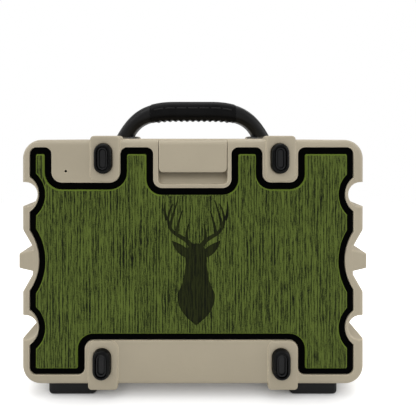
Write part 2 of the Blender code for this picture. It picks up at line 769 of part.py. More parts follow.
def make_basket():
    section = [
        (POCKET[0] - GAP, POCKET[1] - GAP, FLANGE_Y[0]),
        (105.0, 72.0, FLANGE_Y[0]),
        (102.0, 69.0, FLANGE_Y[0] + 2),
        (48.0, 48.0, -12.0),
        (36.0, 36.0, -12.0),
        (36.0, 36.0, -10.0),
        (50.0, 50.0, -10.0),
        (104.0, 71.0, -49.0),
        (106.4, 73.4, FLANGE_Y[1]),
        (POCKET[0] - GAP, POCKET[1] - GAP, FLANGE_Y[1]),
    ]
    basket = oval_sweep("woofer_basket", section)
    for angle in turns(8):
        x, z = 130 * math.cos(angle), 110 * math.sin(angle)
        cut(basket, rod("basket_window", 11, (0.2 * x, -30, MIDDLE + 0.2 * z), (x, -30, MIDDLE + z), 8))
    for x, z in woofer_screw_places():
        cut(basket, rod("flange_hole", 1.9, (x, -60, z), (x, -45, z), 8))
    return basket


def make_woofer_motion():
    """Cone, dust cap and voice coil, which travel together along the speaker's axis."""
    front, back = [], []
    for step in range(4):
        share = (step / 3) ** 0.85
        width, height = blend_oval(CONE_OVAL, (CONE_NECK, CONE_NECK), share)
        y = CONE_FRONT_Y + (CONE_BACK_Y - CONE_FRONT_Y) * step / 3
        front.append((width, height, y))
        back.append((width, height, y + 1.0))
    cone = oval_sweep("woofer_cone", front + back[::-1])
    cap = [(0, 8.0), (9, 7.2), (18, 4.6), (26.5, 0.6), (26.5, -0.2), (18, 3.8), (9, 6.4), (0, 7.2)]
    dust_cap = turned("dust_cap", cap, (0, -23.0, MIDDLE))
    coil = turned("voice_coil", [(26.3, 19), (26.3, -4), (25.5, -4), (25.5, 19)], (0, 0, MIDDLE), closed=True)
    return cone, dust_cap, coil


def make_surround():
    """Half-roll suspension with a flat lip under the gasket."""
    over, under = [], []
    for step in range(5):
        angle = math.pi * step / 4
        across = 95.0 - 5.5 * math.cos(angle)
        over.append((across, across - 31, -53.2 - 4.3 * math.sin(angle)))
        under.append((across, across - 31, -52.6 - 4.3 * math.sin(angle)))
    lip = [(106.5, 73.5, -54.0), (106.5, 73.5, -53.5)]
    edge = [(88.4, 57.4, -52.6), (88.4, 57.4, -53.2)]
    under[-1] = (101.0, 70.0, -53.5)
    over[-1] = (100.6, 69.6, -54.0)
    return oval_sweep("woofer_surround", over + lip + under[::-1] + edge)


def make_spider():
    """Corrugated centring ring."""
    radii = [27.2 + 4.8 * i for i in range(5)]
    wave = [13.2 + (0.6 if i % 2 else -0.6) for i in range(5)]
    over = [(r, a + 0.25) for r, a in zip(radii, wave)]
    under = [(r, a - 0.25) for r, a in zip(radii, wave)]
    profile = over + under[::-1]
    return turned("woofer_spider", profile, (0, 0, MIDDLE), closed=True)


def make_magnet_parts():
    plate_profile = [(46, 9.7), (46, 3.7), (27.4, 3.7), (27.4, 9.7)]
    magnet_profile = [(48, 3.4), (48, -12.6), (31, -12.6), (31, 3.4)]
    yoke_profile = [(0, 9.7), (24.8, 9.7), (24.8, -12.9), (45, -12.9), (45, -18.9), (0, -18.9)]
    top_plate = turned("woofer_top_plate", plate_profile, (0, 0, MIDDLE), closed=True)
    magnet = turned("woofer_magnet", magnet_profile, (0, 0, MIDDLE), closed=True)
    yoke = turned("woofer_yoke", yoke_profile, (0, 0, MIDDLE))
    return top_plate, magnet, yoke


def make_tweeter():
    cup = [(0, 49.6), (16, 49.6), (17, 52), (19.5, 58.5), (24, 58.5), (24, 46), (20, 44), (0, 44)]
    housing = turned("tweeter_housing", cup, (0, 0, MIDDLE))
    cap = [(0, 56), (6, 55), (10.5, 52.6), (13, 50.6), (13, 50.1), (10, 52.1), (6, 54.5), (0, 55.5)]
    dome = turned("tweeter_dome", cap, (0, 0, MIDDLE))
    return housing, dome


def make_woofer_screw(x, z, number):
    profile = [(0, 2.2), (2.0, 2.2), (3.0, 1.0), (3.0, 0), (1.6, 0), (1.6, -6), (0, -6)]
    return turned(f"woofer_screw_{number}", profile, (x, FLANGE_Y[0] - GAP, z), 12)


# ---------------------------------------------------------------- handle


def arch_plate(name, inset, depth):
    """The arch outline drawn in by inset on both of its sides, and depth deep."""
    outline = arch_outline(LEG_OUT - inset, LEG_IN + inset, ARCH_OUT - inset, ARCH_IN + inset, LEG_Z)
    return plate(name, [outline], (HANDLE_Y - depth / 2, HANDLE_Y + depth / 2))


def make_handle():
    """Rigid core, thin under the grip, and the grip sleeve round its bar."""
    core = arch_plate("handle_core", 0.0, HANDLE_DEPTH)
    high = LEG_Z + 60
    reach = (HANDLE_Y - 40, HANDLE_Y + 40)
    waist = box("grip_space", (-GRIP_HALF, GRIP_HALF), reach, (LEG_Z - 20, high))
    cut(waist, arch_plate("inner_bar", 4.0, HANDLE_DEPTH - 12))
    cut(core, waist)
    for side in (-1, 1):
        x = side * BOLT_X
        cut(core, rod("leg_bore", 3.2, (x, HANDLE_Y, LEG_Z - 10), (x, HANDLE_Y, LEG_Z + LEG_BORE), 12))

    grip = arch_plate("handle_grip", -GRIP_SWELL, HANDLE_DEPTH + 2 * GRIP_SWELL)
    for y in (HANDLE_Y - HANDLE_DEPTH / 2 - GRIP_SWELL, HANDLE_Y + HANDLE_DEPTH / 2 + GRIP_SWELL):
        round_rim(grip, y, 4.0)
    edge = GRIP_HALF - GAP
    combine(grip, "INTERSECT", box("grip_span", (-edge, edge), reach, (LEG_Z - 20, high)))
    cut(grip, arch_plate("bar_clearance", 4.0 - GAP, HANDLE_DEPTH - 12 + 2 * GAP))
    return core, grip


def make_handle_fixings(side, name):
    x = side * BOLT_X
    xs = sorted(side * x for x in PLATE_XS)
    foot = box(f"handle_plate_{name}", xs, (HANDLE_Y - 13, HANDLE_Y + 13), PLATE_Z, "Z", 2.5, 2)
    cut(foot, rod("plate_hole", 3.2, (x, HANDLE_Y, TOP), (x, HANDLE_Y, TOP + 12), 12))
    profile = [(0, 20), (2.8, 20), (2.8, 0), (6, 0), (6, -4), (0, -4)]
    bolt = turned(f"handle_bolt_{name}", profile, (x, HANDLE_Y, TOP - WALL - GAP), 16, axis="Z")
    return foot, bolt


# ---------------------------------------------------------------- controls and inside


def rounded_box_outline(x, y, width, depth, radius):
    right, left, far, near = x + width / 2, x - width / 2, y + depth / 2, y - depth / 2
    return rounded([(left, far, radius), (right, far, radius), (right, near, radius), (left, near, radius)])


def control_outline(grow=0.0):
    return rounded_box_outline(0, KEY_Y, 114 + 2 * grow, 24 + 2 * grow, 6)


def key_outline(place, grow=0.0):
    x = (place - (len(KEYS) - 1) / 2) * KEY_PITCH
    return rounded_box_outline(x, KEY_Y, 15 + 2 * grow, 11 + 2 * grow, 3)


def make_controls():
    top = TOP + DECK_RISE - PANEL_SINK
    holes = [key_outline(place, 0.4) for place in range(len(KEYS))]
    panel = plate("control_plate", [control_outline()] + holes, (top - PANEL_THICK, top), "Z")
    keys = []
    for place, name in enumerate(KEYS):
        keys.append(plate(name, [key_outline(place)], (TOP - 9.5, KEY_TOP), "Z"))
    board = box("control_board", (-54, 54), (KEY_Y - 14, KEY_Y + 14), (TOP - 13, TOP - 11.4), "Z", 2, 2)
    return panel, keys, board


def make_inside():
    """Battery with its bracket, amplifier board, microphone and speaker cable."""
    pack = box("battery_pack", (-60, 60), (27, 51), (BOTTOM + 8, BOTTOM + 74), "X", 5, 3)
    low, high = BOTTOM + 30, BOTTOM + 54
    bracket = box("battery_bracket", (-64, 64), (24.6, 26.6), (low, high))
    for side in (-1, 1):
        xs = sorted((side * 61, side * 64))
        join(bracket, box("bracket_leg", xs, (24.6, 53.6), (low, high)))
    board = box("amp_board", (-56, 56), (44, 45.6), (BOTTOM + 84, BOTTOM + 150), "Y", 2, 2)
    microphone = rod("microphone", 4.5, (MIC_X, 47, MIC_Z), (MIC_X, 53.6, MIC_Z), 16)
    path = [(50, 42, 40), (60, 36, 40), (70, 22, 36), (76, 4, 32), (76, -18, 30)]
    cable = bpy.data.curves.new("speaker_cable", "CURVE")
    cable.dimensions = "3D"
    cable.bevel_depth = 1.6 * MM
    cable.bevel_resolution = 2
    cable.use_fill_caps = True
    spline = cable.splines.new("POLY")
    spline.points.add(len(path) - 1)
    for point, (x, y, rise) in zip(spline.points, path):
        point.co = (x * MM, y * MM, (MIDDLE + rise) * MM, 1.0)
    holder = add_object("speaker_cable", cable)
    bpy.context.view_layer.update()
    return pack, bracket, board, microphone, as_mesh(holder)


def make_foot(side, end, name):
    """Rubber foot under one corner of the case; end is -1 at the front and 1 at the back."""
    xs = sorted((side * FOOT_X[0], side * FOOT_X[1]))
    ys = sorted((end * 26.0, end * (57.5 if end > 0 else 55.0)))
    foot = box(f"foot_{name}", xs, ys, (0.0, BOTTOM - GAP), "Z", 4.0, 3)
    bm = bmesh.new()
    bm.from_mesh(foot.data)
    edges = [e for e in bm.edges if all(abs(v.co.z) < 1e-6 for v in e.verts)]
    bmesh.ops.bevel(bm, geom=edges, offset=2.5 * MM, segments=2, profile=0.5, affect="EDGES")
    bm.to_mesh(foot.data)
    bm.free()
    return foot


# ---------------------------------------------------------------- assembly


def make_material(name, look):
    colour, roughness, metallic = look
    material = bpy.data.materials.new(name)
    material.use_nodes = True
    shader = material.node_tree.nodes["Principled BSDF"]
    shader.inputs["Base Color"].default_value = (*colour, 1.0)
    shader.inputs["Roughness"].default_value = roughness
    shader.inputs["Metallic"].default_value = metallic
    return material


def move_to(item, group):
    for old in list(item.users_collection):
        old.objects.unlink(item)
    group.objects.link(item)


def add_part(item, look, origin=None, smooth=True):
    """Files a finished piece with its material, and puts its origin on its joint's axis."""
    item.data.materials.clear()
    item.data.materials.append(make_material(item.name, look))
    if origin:
        shift = Vector(origin) * MM
        item.data.transform(Matrix.Translation(-shift))
        item.location = shift
    if smooth:
        item.data.shade_smooth()
        item.data.set_sharp_from_angle(angle=math.radians(35))
    move_to(item, parts)


clear_scene()
parts = make_collection("game_caller")
cutters = make_collection("cutters")
cutters.hide_render = True
tools = []

for item in (make_front_housing(), make_rear_housing(), make_bezel(), make_grille(), make_tweeter_cover()):
    add_part(item, TAN)
add_part(make_gasket(), BLACK_RUBBER)
for number, (x, z) in enumerate(screw_places(), 1):
    add_part(make_case_screw(x, z, number), STEEL)

mat_base, mat_face = make_mat()
add_part(mat_base, FOAM_BLACK)
add_part(mat_face, FOAM_GREEN)
for number, place in enumerate(bumper_places(), 1):
    add_part(make_bumper(place, number), BLACK_RUBBER)
pin_line = (0, PIN_Y, PIN_Z)
door, hinge_pin, door_seal = make_port_door()
add_part(door, TAN, pin_line)
add_part(door_seal, BLACK_RUBBER, pin_line)
add_part(hinge_pin, STEEL)
port_plate, usb_socket, charge_socket = make_ports()
add_part(port_plate, BLACK_PLASTIC)
add_part(usb_socket, STEEL)
add_part(charge_socket, BLACK_PLASTIC)

speaker_axis = (0, 0, MIDDLE)
cone, dust_cap, coil = make_woofer_motion()
add_part(cone, CONE_RED, speaker_axis)
add_part(dust_cap, CONE_RED, speaker_axis)
add_part(coil, ALUMINIUM, speaker_axis)
add_part(make_basket(), BLACK_PLASTIC)
woofer_seal = oval_sweep("woofer_gasket", band([h - GAP for h in POCKET], (114.0, 81.0), (-58.5, -53.5)))
add_part(woofer_seal, FOAM_BLACK)
add_part(make_surround(), BLACK_RUBBER)
add_part(make_spider(), WRAP_BLUE)
top_plate, magnet, yoke = make_magnet_parts()
add_part(top_plate, STEEL)
add_part(magnet, FERRITE)
add_part(yoke, STEEL)
for number, (x, z) in enumerate(woofer_screw_places(), 1):
    add_part(make_woofer_screw(x, z, number), STEEL)
tweeter_housing, tweeter_dome = make_tweeter()
add_part(tweeter_housing, BLACK_PLASTIC)
add_part(tweeter_dome, ALUMINIUM, speaker_axis)

handle_core, handle_grip = make_handle()
add_part(handle_core, BLACK_PLASTIC)
add_part(handle_grip, BLACK_RUBBER)
for side, name in ((-1, "left"), (1, "right")):
    for item in make_handle_fixings(side, name):
        add_part(item, STEEL)
    for end, which in ((-1, "front"), (1, "rear")):
        add_part(make_foot(side, end, f"{which}_{name}"), BLACK_RUBBER)

control_plate, keys, control_board = make_controls()
add_part(control_plate, BLACK_PLASTIC)
for place, key in enumerate(keys):
    add_part(key, BLACK_RUBBER, ((place - 2) * KEY_PITCH, KEY_Y, KEY_TOP))
add_part(control_board, BOARD_GREEN)
battery, bracket, amp_board, microphone, cable = make_inside()
add_part(battery, WRAP_BLUE)
add_part(bracket, ALUMINIUM)
add_part(amp_board, BOARD_GREEN)
add_part(microphone, ALUMINIUM)
add_part(cable, BLACK_RUBBER)

for tool in tools:
    move_to(tool, cutters)
    tool.hide_render = True
    tool.display_type = "WIRE"
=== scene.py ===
"""Looks of the electronic game caller: fine mouldings, foam mat, rubber and speaker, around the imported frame.

Shape helpers take millimetres and write metres. The grille faces -Y and the foam mat faces +Y.
"""

import math

import bmesh
import bpy
from mathutils import Matrix, Vector


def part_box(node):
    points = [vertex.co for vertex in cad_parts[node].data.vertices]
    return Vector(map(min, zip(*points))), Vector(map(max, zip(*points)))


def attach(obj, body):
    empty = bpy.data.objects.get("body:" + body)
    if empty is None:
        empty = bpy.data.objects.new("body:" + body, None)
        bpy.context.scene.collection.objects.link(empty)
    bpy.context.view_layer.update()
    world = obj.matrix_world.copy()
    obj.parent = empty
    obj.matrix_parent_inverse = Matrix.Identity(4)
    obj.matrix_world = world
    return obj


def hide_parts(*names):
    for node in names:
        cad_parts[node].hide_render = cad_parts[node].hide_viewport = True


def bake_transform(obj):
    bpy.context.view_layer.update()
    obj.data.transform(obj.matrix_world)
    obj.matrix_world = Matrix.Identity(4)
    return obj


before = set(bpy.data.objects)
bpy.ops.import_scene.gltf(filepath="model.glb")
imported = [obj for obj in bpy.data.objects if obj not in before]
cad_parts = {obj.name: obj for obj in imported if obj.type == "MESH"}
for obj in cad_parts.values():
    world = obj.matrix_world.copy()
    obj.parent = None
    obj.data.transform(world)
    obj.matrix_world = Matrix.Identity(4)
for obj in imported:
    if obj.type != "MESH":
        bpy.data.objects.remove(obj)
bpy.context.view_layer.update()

MM = 0.001
GAP = 0.3  # clearance between neighbouring pieces


def span(node, axis):
    """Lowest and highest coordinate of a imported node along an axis, in millimetres."""
    low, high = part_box(node)
    return low["XYZ".index(axis)] / MM, high["XYZ".index(axis)] / MM


def middle(node, axis):
    return sum(span(node, axis)) / 2


# Case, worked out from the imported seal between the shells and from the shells
SEAL_INSET = 0.8
HALF_W = span("housing_gasket", "X")[1] + SEAL_INSET
BOTTOM = span("housing_gasket", "Z")[0] - SEAL_INSET
TOP = span("housing_gasket", "Z")[1] + SEAL_INSET
MIDDLE = (BOTTOM + TOP) / 2
RAIL_RISE = span("rear_housing", "Z")[1] - TOP
FRONT_Y = span("front_housing", "Y")[0] + RAIL_RISE
FRONT_BACK_Y = span("front_housing", "Y")[1]
REAR_FRONT_Y = span("rear_housing", "Y")[0]
PAD_BACK_Y, PAD_RISE = span("rear_housing", "Y")[1], 1.2
BACK_Y = PAD_BACK_Y - PAD_RISE
CORNER_R, EDGE_R, WALL = 16.0, 4.0, 4.0
LUG_BACK_Y, LUG_FRONT_Y, LUG_X = -25.0, -50.0, 144.0
SCREW_HOLE_R, BOLT_HOLE_R = 3.0, 3.2
FAR = 200.0  # further from the middle than any piece, for cutters

# Side details; heights are above the bottom of the case
NOTCH_HEIGHTS = (49.5, 164.0)
NOTCH_X, NOTCH_R = 144.2, 10.6
RIB_H, RIB_X = 107.0, span("rear_housing", "X")[1]
RIB_ROOT, RIB_TIP = 9.5, 6.4
SCALLOP_X, SCALLOP_HALF, SCALLOP_SLOPE = 138.0, 12.0, 1.75

# Rails and the deck on top
RAIL_X, RAIL_HALF, RAIL_ROUND = 75.5, 12.5, 3.2
RAIL_BACK_Y = (42.0, BACK_Y - 1)  # the rails rise again behind the handle
DECK_RISE, DECK_HALF, DECK_BACK_Y = 0.9, 87.0, 44.0
TOP_PADS = ((62.8, 88.2), (TOP - 36.0, TOP + RAIL_RISE - 0.1))  # raised pads behind the bumpers
LOW_PADS = ((64.4, 90.0), (BOTTOM - RAIL_RISE, BOTTOM + 38.6))
PAD_CORNER_R = 6.5

# Back mat, bumpers and port door
MAT_BASE_Y, MAT_FACE_Y = span("mat_base", "Y"), span("mat_face", "Y")
RECESS_Y = MAT_BASE_Y[0] - GAP
MAT_SIDES = span("mat_base", "X")
MAT_LOW, MAT_HIGH = span("mat_base", "Z")
MAT_BORDER, MAT_CORNER_R = 5.5, 5.6
# Cut-outs in the upper edge of the mat: right side, left side, height of the floor, corner radius
MAT_TABS = ((121.9, 62.1, 173.8, 9.5), (34.5, -33.5, 169.2, 8.0), (-59.6, -90.7, 174.0, 7.5))
MAT_PANEL, MAT_PANEL_H, MAT_PANEL_R = (-90.7, 93.3), 39.1, 8.0
# Round bites in the sides of the mat: height, radius, depth
MAT_BITES = ((NOTCH_HEIGHTS[1], 18.7, 7.2), (RIB_H, 46.0, 7.4), (NOTCH_HEIGHTS[0], 18.7, 7.2))
MAT_RIGHT_DEEPER = 0.7
BUMPER_Y = span("rear_bumper_1", "Y")
# Bumpers, as length and width: outside, mouth of the groove, inner ring and core
BUMPER, BUMPER_MOUTH, BUMPER_CORE = (25.8, 15.2), (20.6, 10.0), (16.0, 5.4)
BUMPER_RING = ((19.2, 8.6), (16.6, 6.0))
DOOR_HALF, DOOR_LOW = span("port_door", "X")[1], span("port_door", "Z")[0]
DOOR_OUT_Y = span("port_door", "Y")[1]
PIN_Y, PIN_Z = middle("port_hinge_pin", "Y"), middle("port_hinge_pin", "Z")
PIN_R = 1.5
KNUCKLE_R = DOOR_OUT_Y - PIN_Y
RECESS_LOW, RECESS_FLOOR_Y = DOOR_LOW - 10.2, 52.4
PORT_WALL_Y = 44.0
MIC_X, MIC_Z = middle("microphone", "X"), middle("microphone", "Z")

# Oval front, as half sizes
BEZEL_OUT = (span("grille_bezel", "X")[1], 96.6)
BEZEL_IN, POCKET, THROAT = (119.8, 86.0), (121.6, 87.9), (107.0, 74.0)
BEZEL_Y = span("grille_bezel", "Y")
BEZEL_SEAT_Y = FRONT_Y + 0.15
PAD_REACH = 5.5
# Section of the bezel, from its outside to its opening: share of the width, share of the rise
BEZEL_PROFILE = [(0, 0), (0, 0.5), (0.02, 0.6), (0.06, 0.66), (0.11, 0.66), (0.14, 0.52), (0.17, 0.52)]
BEZEL_PROFILE += [(0.2, 0.78), (0.26, 0.9), (0.38, 0.98), (0.52, 1), (0.66, 0.98), (0.8, 0.9), (0.86, 0.84)]
BEZEL_PROFILE += [(0.88, 0.7), (0.96, 0.66), (1, 0.58), (1, 0)]
LEDGE_Y = -50.4
GRILLE_Y, COVER_Y = span("grille", "Y"), span("tweeter_cover", "Y")
SLOT_PITCH_X, SLOT_PITCH_Z, SLOT_H, SLOT_LEN, SLOT_RIM = 28.7, 14.2, 8.4, 24.0, 1.3
SLOT_OVAL = (117.0, 77.0)
# Slots beside the round cover: their start in the middle row, how it moves in with each millimetre up or
# down, how far above the cover this holds, and the shortest slot as a multiple of the height
SLOT_START, SLOT_LEAN, SLOT_CLEAR, SLOT_SHORTEST = 38.2, 0.84, 4.8, 1.25
DOME_R = span("tweeter_cover", "X")[1]
COVER_RINGS, COVER_RING_PITCH, COVER_HOLE_R, COVER_THICK = 6, 3.8, 1.25, 1.4
CONE_OVAL, CONE_NECK = (88.0, 57.0), 26.7
CONE_Y, CONE_THICK = (-52.4, -20.4), 1.0
CAP_R, CAP_RISE, CAP_THICK, CAP_Y = 27.2, 8.4, 0.7, -23.0
CAP_ANGLE, CAP_RIM = math.radians(72), 0.309  # where the cap ends on its ball, and the cosine of that
# Rubber roll: middle and half of its width, rise, and how much longer than high its oval is
ROLL_MIDDLE, ROLL_HALF, ROLL_RISE, ROLL_OVAL = 94.2, 6.8, 3.4, 30.7
ROLL_Y, ROLL_THICK, ROLL_LIP = -54.0, 0.7, (106.5, 73.5)

# Handle
HANDLE_Y = middle("handle_core", "Y")
HANDLE_DEPTH = span("handle_core", "Y")[1] - span("handle_core", "Y")[0]
LEG_OUT, LEG_IN = span("handle_core", "X")[1], 66.3
LEG_Z = span("handle_core", "Z")[0]
ARCH_OUT, ARCH_IN = 38.2, 18.8
GRIP_HALF, GRIP_SWELL = 46.0, 0.4
HANDLE_EDGE, GRIP_EDGE, LEG_DROP = 6.5, 6.8, 9.0
BAR_INSET, BAR_DEPTH = 4.0, HANDLE_DEPTH - 12  # the thinner bar inside the grip
RIDGES, RIDGE_PITCH, RIDGE_R, RIDGE_HALF, RIDGE_OUT = 13, 6.5, 2.6, 9.5, 1.1
DASHES, DASH_PITCH, DASH_DROP, DASH_WIDTH = 7, 12.3, 7.0, 1.5
FOOT_CORNER_R, FOOT_EDGE_R, TREADS, TREAD_HALF = 4.0, 3.6, 4, 0.8

# Keys
KEYS = ("power_key", "volume_down_key", "play_key", "volume_up_key", "pairing_key")
KEY_Y = middle("play_key", "Y")
KEY_TOP = span("play_key", "Z")[1]

FINE = 12  # steps of a small arc
ROUND = 48  # steps of a full turn


# ------------ shape builders


def add_object(name, data):
    item = bpy.data.objects.new(name, data)
    bpy.context.scene.collection.objects.link(item)
    return item


def write_back(bm, mesh):
    """Writes the edited faces to a mesh, with their normals pointing out."""
    bmesh.ops.recalc_face_normals(bm, faces=bm.faces)
    bm.to_mesh(mesh)
    bm.free()
    return mesh


def finish_bmesh(name, bm):
    return add_object(name, write_back(bm, bpy.data.meshes.new(name)))


def box(name, xs, ys, zs, radius=0.0, axis="", segments=4):
    """A block between the given limits. Its edges along an axis, or all of them, are rounded."""
    bm = bmesh.new()
    bmesh.ops.create_cube(bm, size=1.0)
    low = Vector((xs[0], ys[0], zs[0])) * MM
    high = Vector((xs[1], ys[1], zs[1])) * MM
    for vert in bm.verts:
        vert.co = Vector(high[i] if vert.co[i] > 0 else low[i] for i in range(3))
    if radius:
        edges = bm.edges[:]
        if axis:
            index = "XYZ".index(axis)
            edges = [e for e in edges if abs((e.verts[0].co - e.verts[1].co)[index]) > 1e-6]
        bmesh.ops.bevel(bm, geom=edges, offset=radius * MM, segments=segments, profile=0.5, affect="EDGES")
    return finish_bmesh(name, bm)


def round_rim(item, value, radius, axis="Y", segments=5):
    """Rounds the edges that lie in one plane across an axis."""
    index = "XYZ".index(axis)
    bm = bmesh.new()
    bm.from_mesh(item.data)
    bmesh.ops.dissolve_limit(bm, angle_limit=0.01, verts=bm.verts, edges=bm.edges)
    edges = [e for e in bm.edges if all(abs(v.co[index] - value * MM) < 1e-6 for v in e.verts)]
    bmesh.ops.bevel(bm, geom=edges, offset=radius * MM, segments=segments, profile=0.5, affect="EDGES")
    write_back(bm, item.data)


def rod(name, radius, start, end, segments=24):
    start, end = Vector(start) * MM, Vector(end) * MM
    bm = bmesh.new()
    radius *= MM
    depth = (end - start).length
    bmesh.ops.create_cone(bm, cap_ends=True, segments=segments, radius1=radius, radius2=radius, depth=depth)
    turn = (end - start).to_track_quat("Z", "Y").to_matrix().to_4x4()
    bmesh.ops.transform(bm, matrix=Matrix.Translation((start + end) / 2) @ turn, verts=bm.verts)
    return finish_bmesh(name, bm)


def evaluated(item, welded=False):
    """A copy of the object's mesh with its modifiers applied, in world space."""
    bpy.context.view_layer.update()
    graph = bpy.context.evaluated_depsgraph_get()
    mesh = bpy.data.meshes.new_from_object(item.evaluated_get(graph))
    mesh.transform(item.matrix_world)
    if welded:
        bm = bmesh.new()
        bm.from_mesh(mesh)
        bmesh.ops.remove_doubles(bm, verts=bm.verts, dist=1e-6)
        write_back(bm, mesh)
    return mesh


def as_mesh(holder):
    mesh = evaluated(holder, welded=True)
    name = holder.name
    bpy.data.objects.remove(holder, do_unlink=True)
    return add_object(name, mesh)


def plate(name, outlines, limits, edge=0.0, axis="Y", steps=3):
    """A plate across the Y or the Z axis: the first outline bounds it, the others are holes, and its edges
    are rounded by edge."""
    curve = bpy.data.curves.new(name, "CURVE")
    curve.dimensions = "2D"
    curve.fill_mode = "BOTH"
    curve.extrude = ((limits[1] - limits[0]) / 2 - edge) * MM
    curve.bevel_depth = edge * MM
    curve.bevel_resolution = steps
    curve.offset = -edge * MM
    for outline in outlines:
        spline = curve.splines.new("POLY")
        spline.points.add(len(outline) - 1)
        for point, (across, up) in zip(spline.points, outline):
            point.co = (across * MM, up * MM, 0.0, 1.0)
        spline.use_cyclic_u = True
    holder = add_object(name, curve)
    centre = sum(limits) / 2 * MM
    if axis == "Y":
        holder.matrix_world = Matrix.Translation((0, centre, 0)) @ Matrix.Rotation(math.pi / 2, 4, "X")
    else:
        holder.matrix_world = Matrix.Translation((0, 0, centre))
    return as_mesh(holder)


def loft(name, rings, closed=False):
    """A skin over rings of (x, y, z) points: it is closed in a circle, or capped at its two ends."""
    bm = bmesh.new()
    made = [[bm.verts.new((x * MM, y * MM, z * MM)) for x, y, z in ring] for ring in rings]
    if not closed:
        bm.faces.new(made[0])
        bm.faces.new(made[-1])
    for near, far in zip(made, made[1:] + made[:1] * closed):
        for i, vert in enumerate(near):
            j = (i + 1) % len(near)
            bm.faces.new((vert, near[j], far[j], far[i]))
    return finish_bmesh(name, bm)


def flare(name, near, far, ys):
    """A closed form between two outlines with equally many points, for chamfered openings."""
    return loft(name, [[(x, y, z) for x, z in outline] for outline, y in zip((near, far), ys)])


def turned(name, profile, centre, steps=ROUND):
    """A turned piece: profile points are (radius, distance towards the front)."""
    mesh = bpy.data.meshes.new(name)
    points = [(radius * MM, 0.0, along * MM) for radius, along in profile]
    edges = [(i, i + 1) for i in range(len(points) - 1)]
    mesh.from_pydata(points, edges, [])
    holder = add_object(name, mesh)
    screw = holder.modifiers.new("turn", "SCREW")
    screw.steps = screw.render_steps = steps
    screw.use_merge_vertices = True
    screw.merge_threshold = 0.000001
    holder.matrix_world = Matrix.Translation(Vector(centre) * MM) @ Matrix.Rotation(math.pi / 2, 4, "X")
    return as_mesh(holder)


def oval_sweep(name, profile, steps=128):
    """A closed section carried round the oval: section points are (half width, half height, y)."""
    rings = []
    for angle in turns(steps):
        across, up = math.cos(angle), math.sin(angle)
        rings.append([(w * across, y, MIDDLE + h * up) for w, h, y in profile])
    return loft(name, rings, closed=True)


def combine(target, operation, *tools):
    """Joins or cuts with the tools, applies the result and removes the tools."""
    for tool in tools:
        step = target.modifiers.new(tool.name, "BOOLEAN")
        step.operation = operation
        step.object = tool
    target.data = evaluated(target)
    target.modifiers.clear()
    for tool in tools:
        bpy.data.objects.remove(tool, do_unlink=True)
    return target


def cut(target, *tools):
    return combine(target, "DIFFERENCE", *tools)


def join(target, *tools):
    return combine(target, "UNION", *tools)


def merge(name, items):
    """One object from several that do not touch."""
    bm = bmesh.new()
    for item in items:
        item.data.transform(item.matrix_world)
        bm.from_mesh(item.data)
        bpy.data.objects.remove(item, do_unlink=True)
    return finish_bmesh(name, bm)


# ------------ outlines


def rounded(corners, segments=FINE):
    """An outline from (x, z, radius) corners, each turned into an arc."""
    outline = []
    count = len(corners)
    for i, (x, z, radius) in enumerate(corners):
        here = Vector((x, z))
        before = (Vector(corners[i - 1][:2]) - here).normalized()
        after = (Vector(corners[(i + 1) % count][:2]) - here).normalized()
        if radius == 0:
            outline.append((x, z))
            continue
        half = before.angle(after) / 2
        reach = radius / math.tan(half)
        centre = here + (before + after).normalized() * (radius / math.sin(half))
        start = here + before * reach - centre
        sweep = start.angle_signed(here + after * reach - centre)
        for step in range(segments + 1):
            spin = Matrix.Rotation(-sweep * step / segments, 2)
            outline.append(tuple(centre + spin @ start))
    return outline


def both_sides(corners, segments):
    """The rounded outline on the -X side and on the +X side, from its corners on the +X side."""
    return [rounded([(side * x, z, radius) for x, z, radius in corners], segments) for side in (-1, 1)]


def pill(x, z, length, height, segments=FINE, upright=False):
    """A slot with round ends, centred on (x, z)."""
    radius = height / 2
    half = length / 2 - radius
    outline = []
    for side, first in ((1, -90), (-1, 90)):
        for step in range(segments + 1):
            angle = math.radians(first + 180 * step / segments)
            outline.append((side * half + radius * math.cos(angle), radius * math.sin(angle)))
    if upright:
        outline = [(-b, a) for a, b in outline]
    return [(x + a, z + b) for a, b in outline]


def turns(count):
    return [math.tau * i / count for i in range(count)]


def circle(x, z, radius, steps=ROUND):
    return [(x + radius * math.cos(a), z + radius * math.sin(a)) for a in turns(steps)]


def oval(half_w, half_h, steps=128):
    return [(half_w * math.cos(a), MIDDLE + half_h * math.sin(a)) for a in turns(steps)]


def arc_notch(side, height, radius, depth, edge, segments=20):
    """Points of a round bite out of a side edge, from its top to its bottom on the +X side."""
    centre = edge - depth + radius
    half = math.acos((radius - depth) / radius)
    points = []
    for step in range(segments + 1):
        angle = half - 2 * half * step / segments
        points.append((side * (centre - radius * math.cos(angle)), height + radius * math.sin(angle)))
    return points if side > 0 else points[::-1]


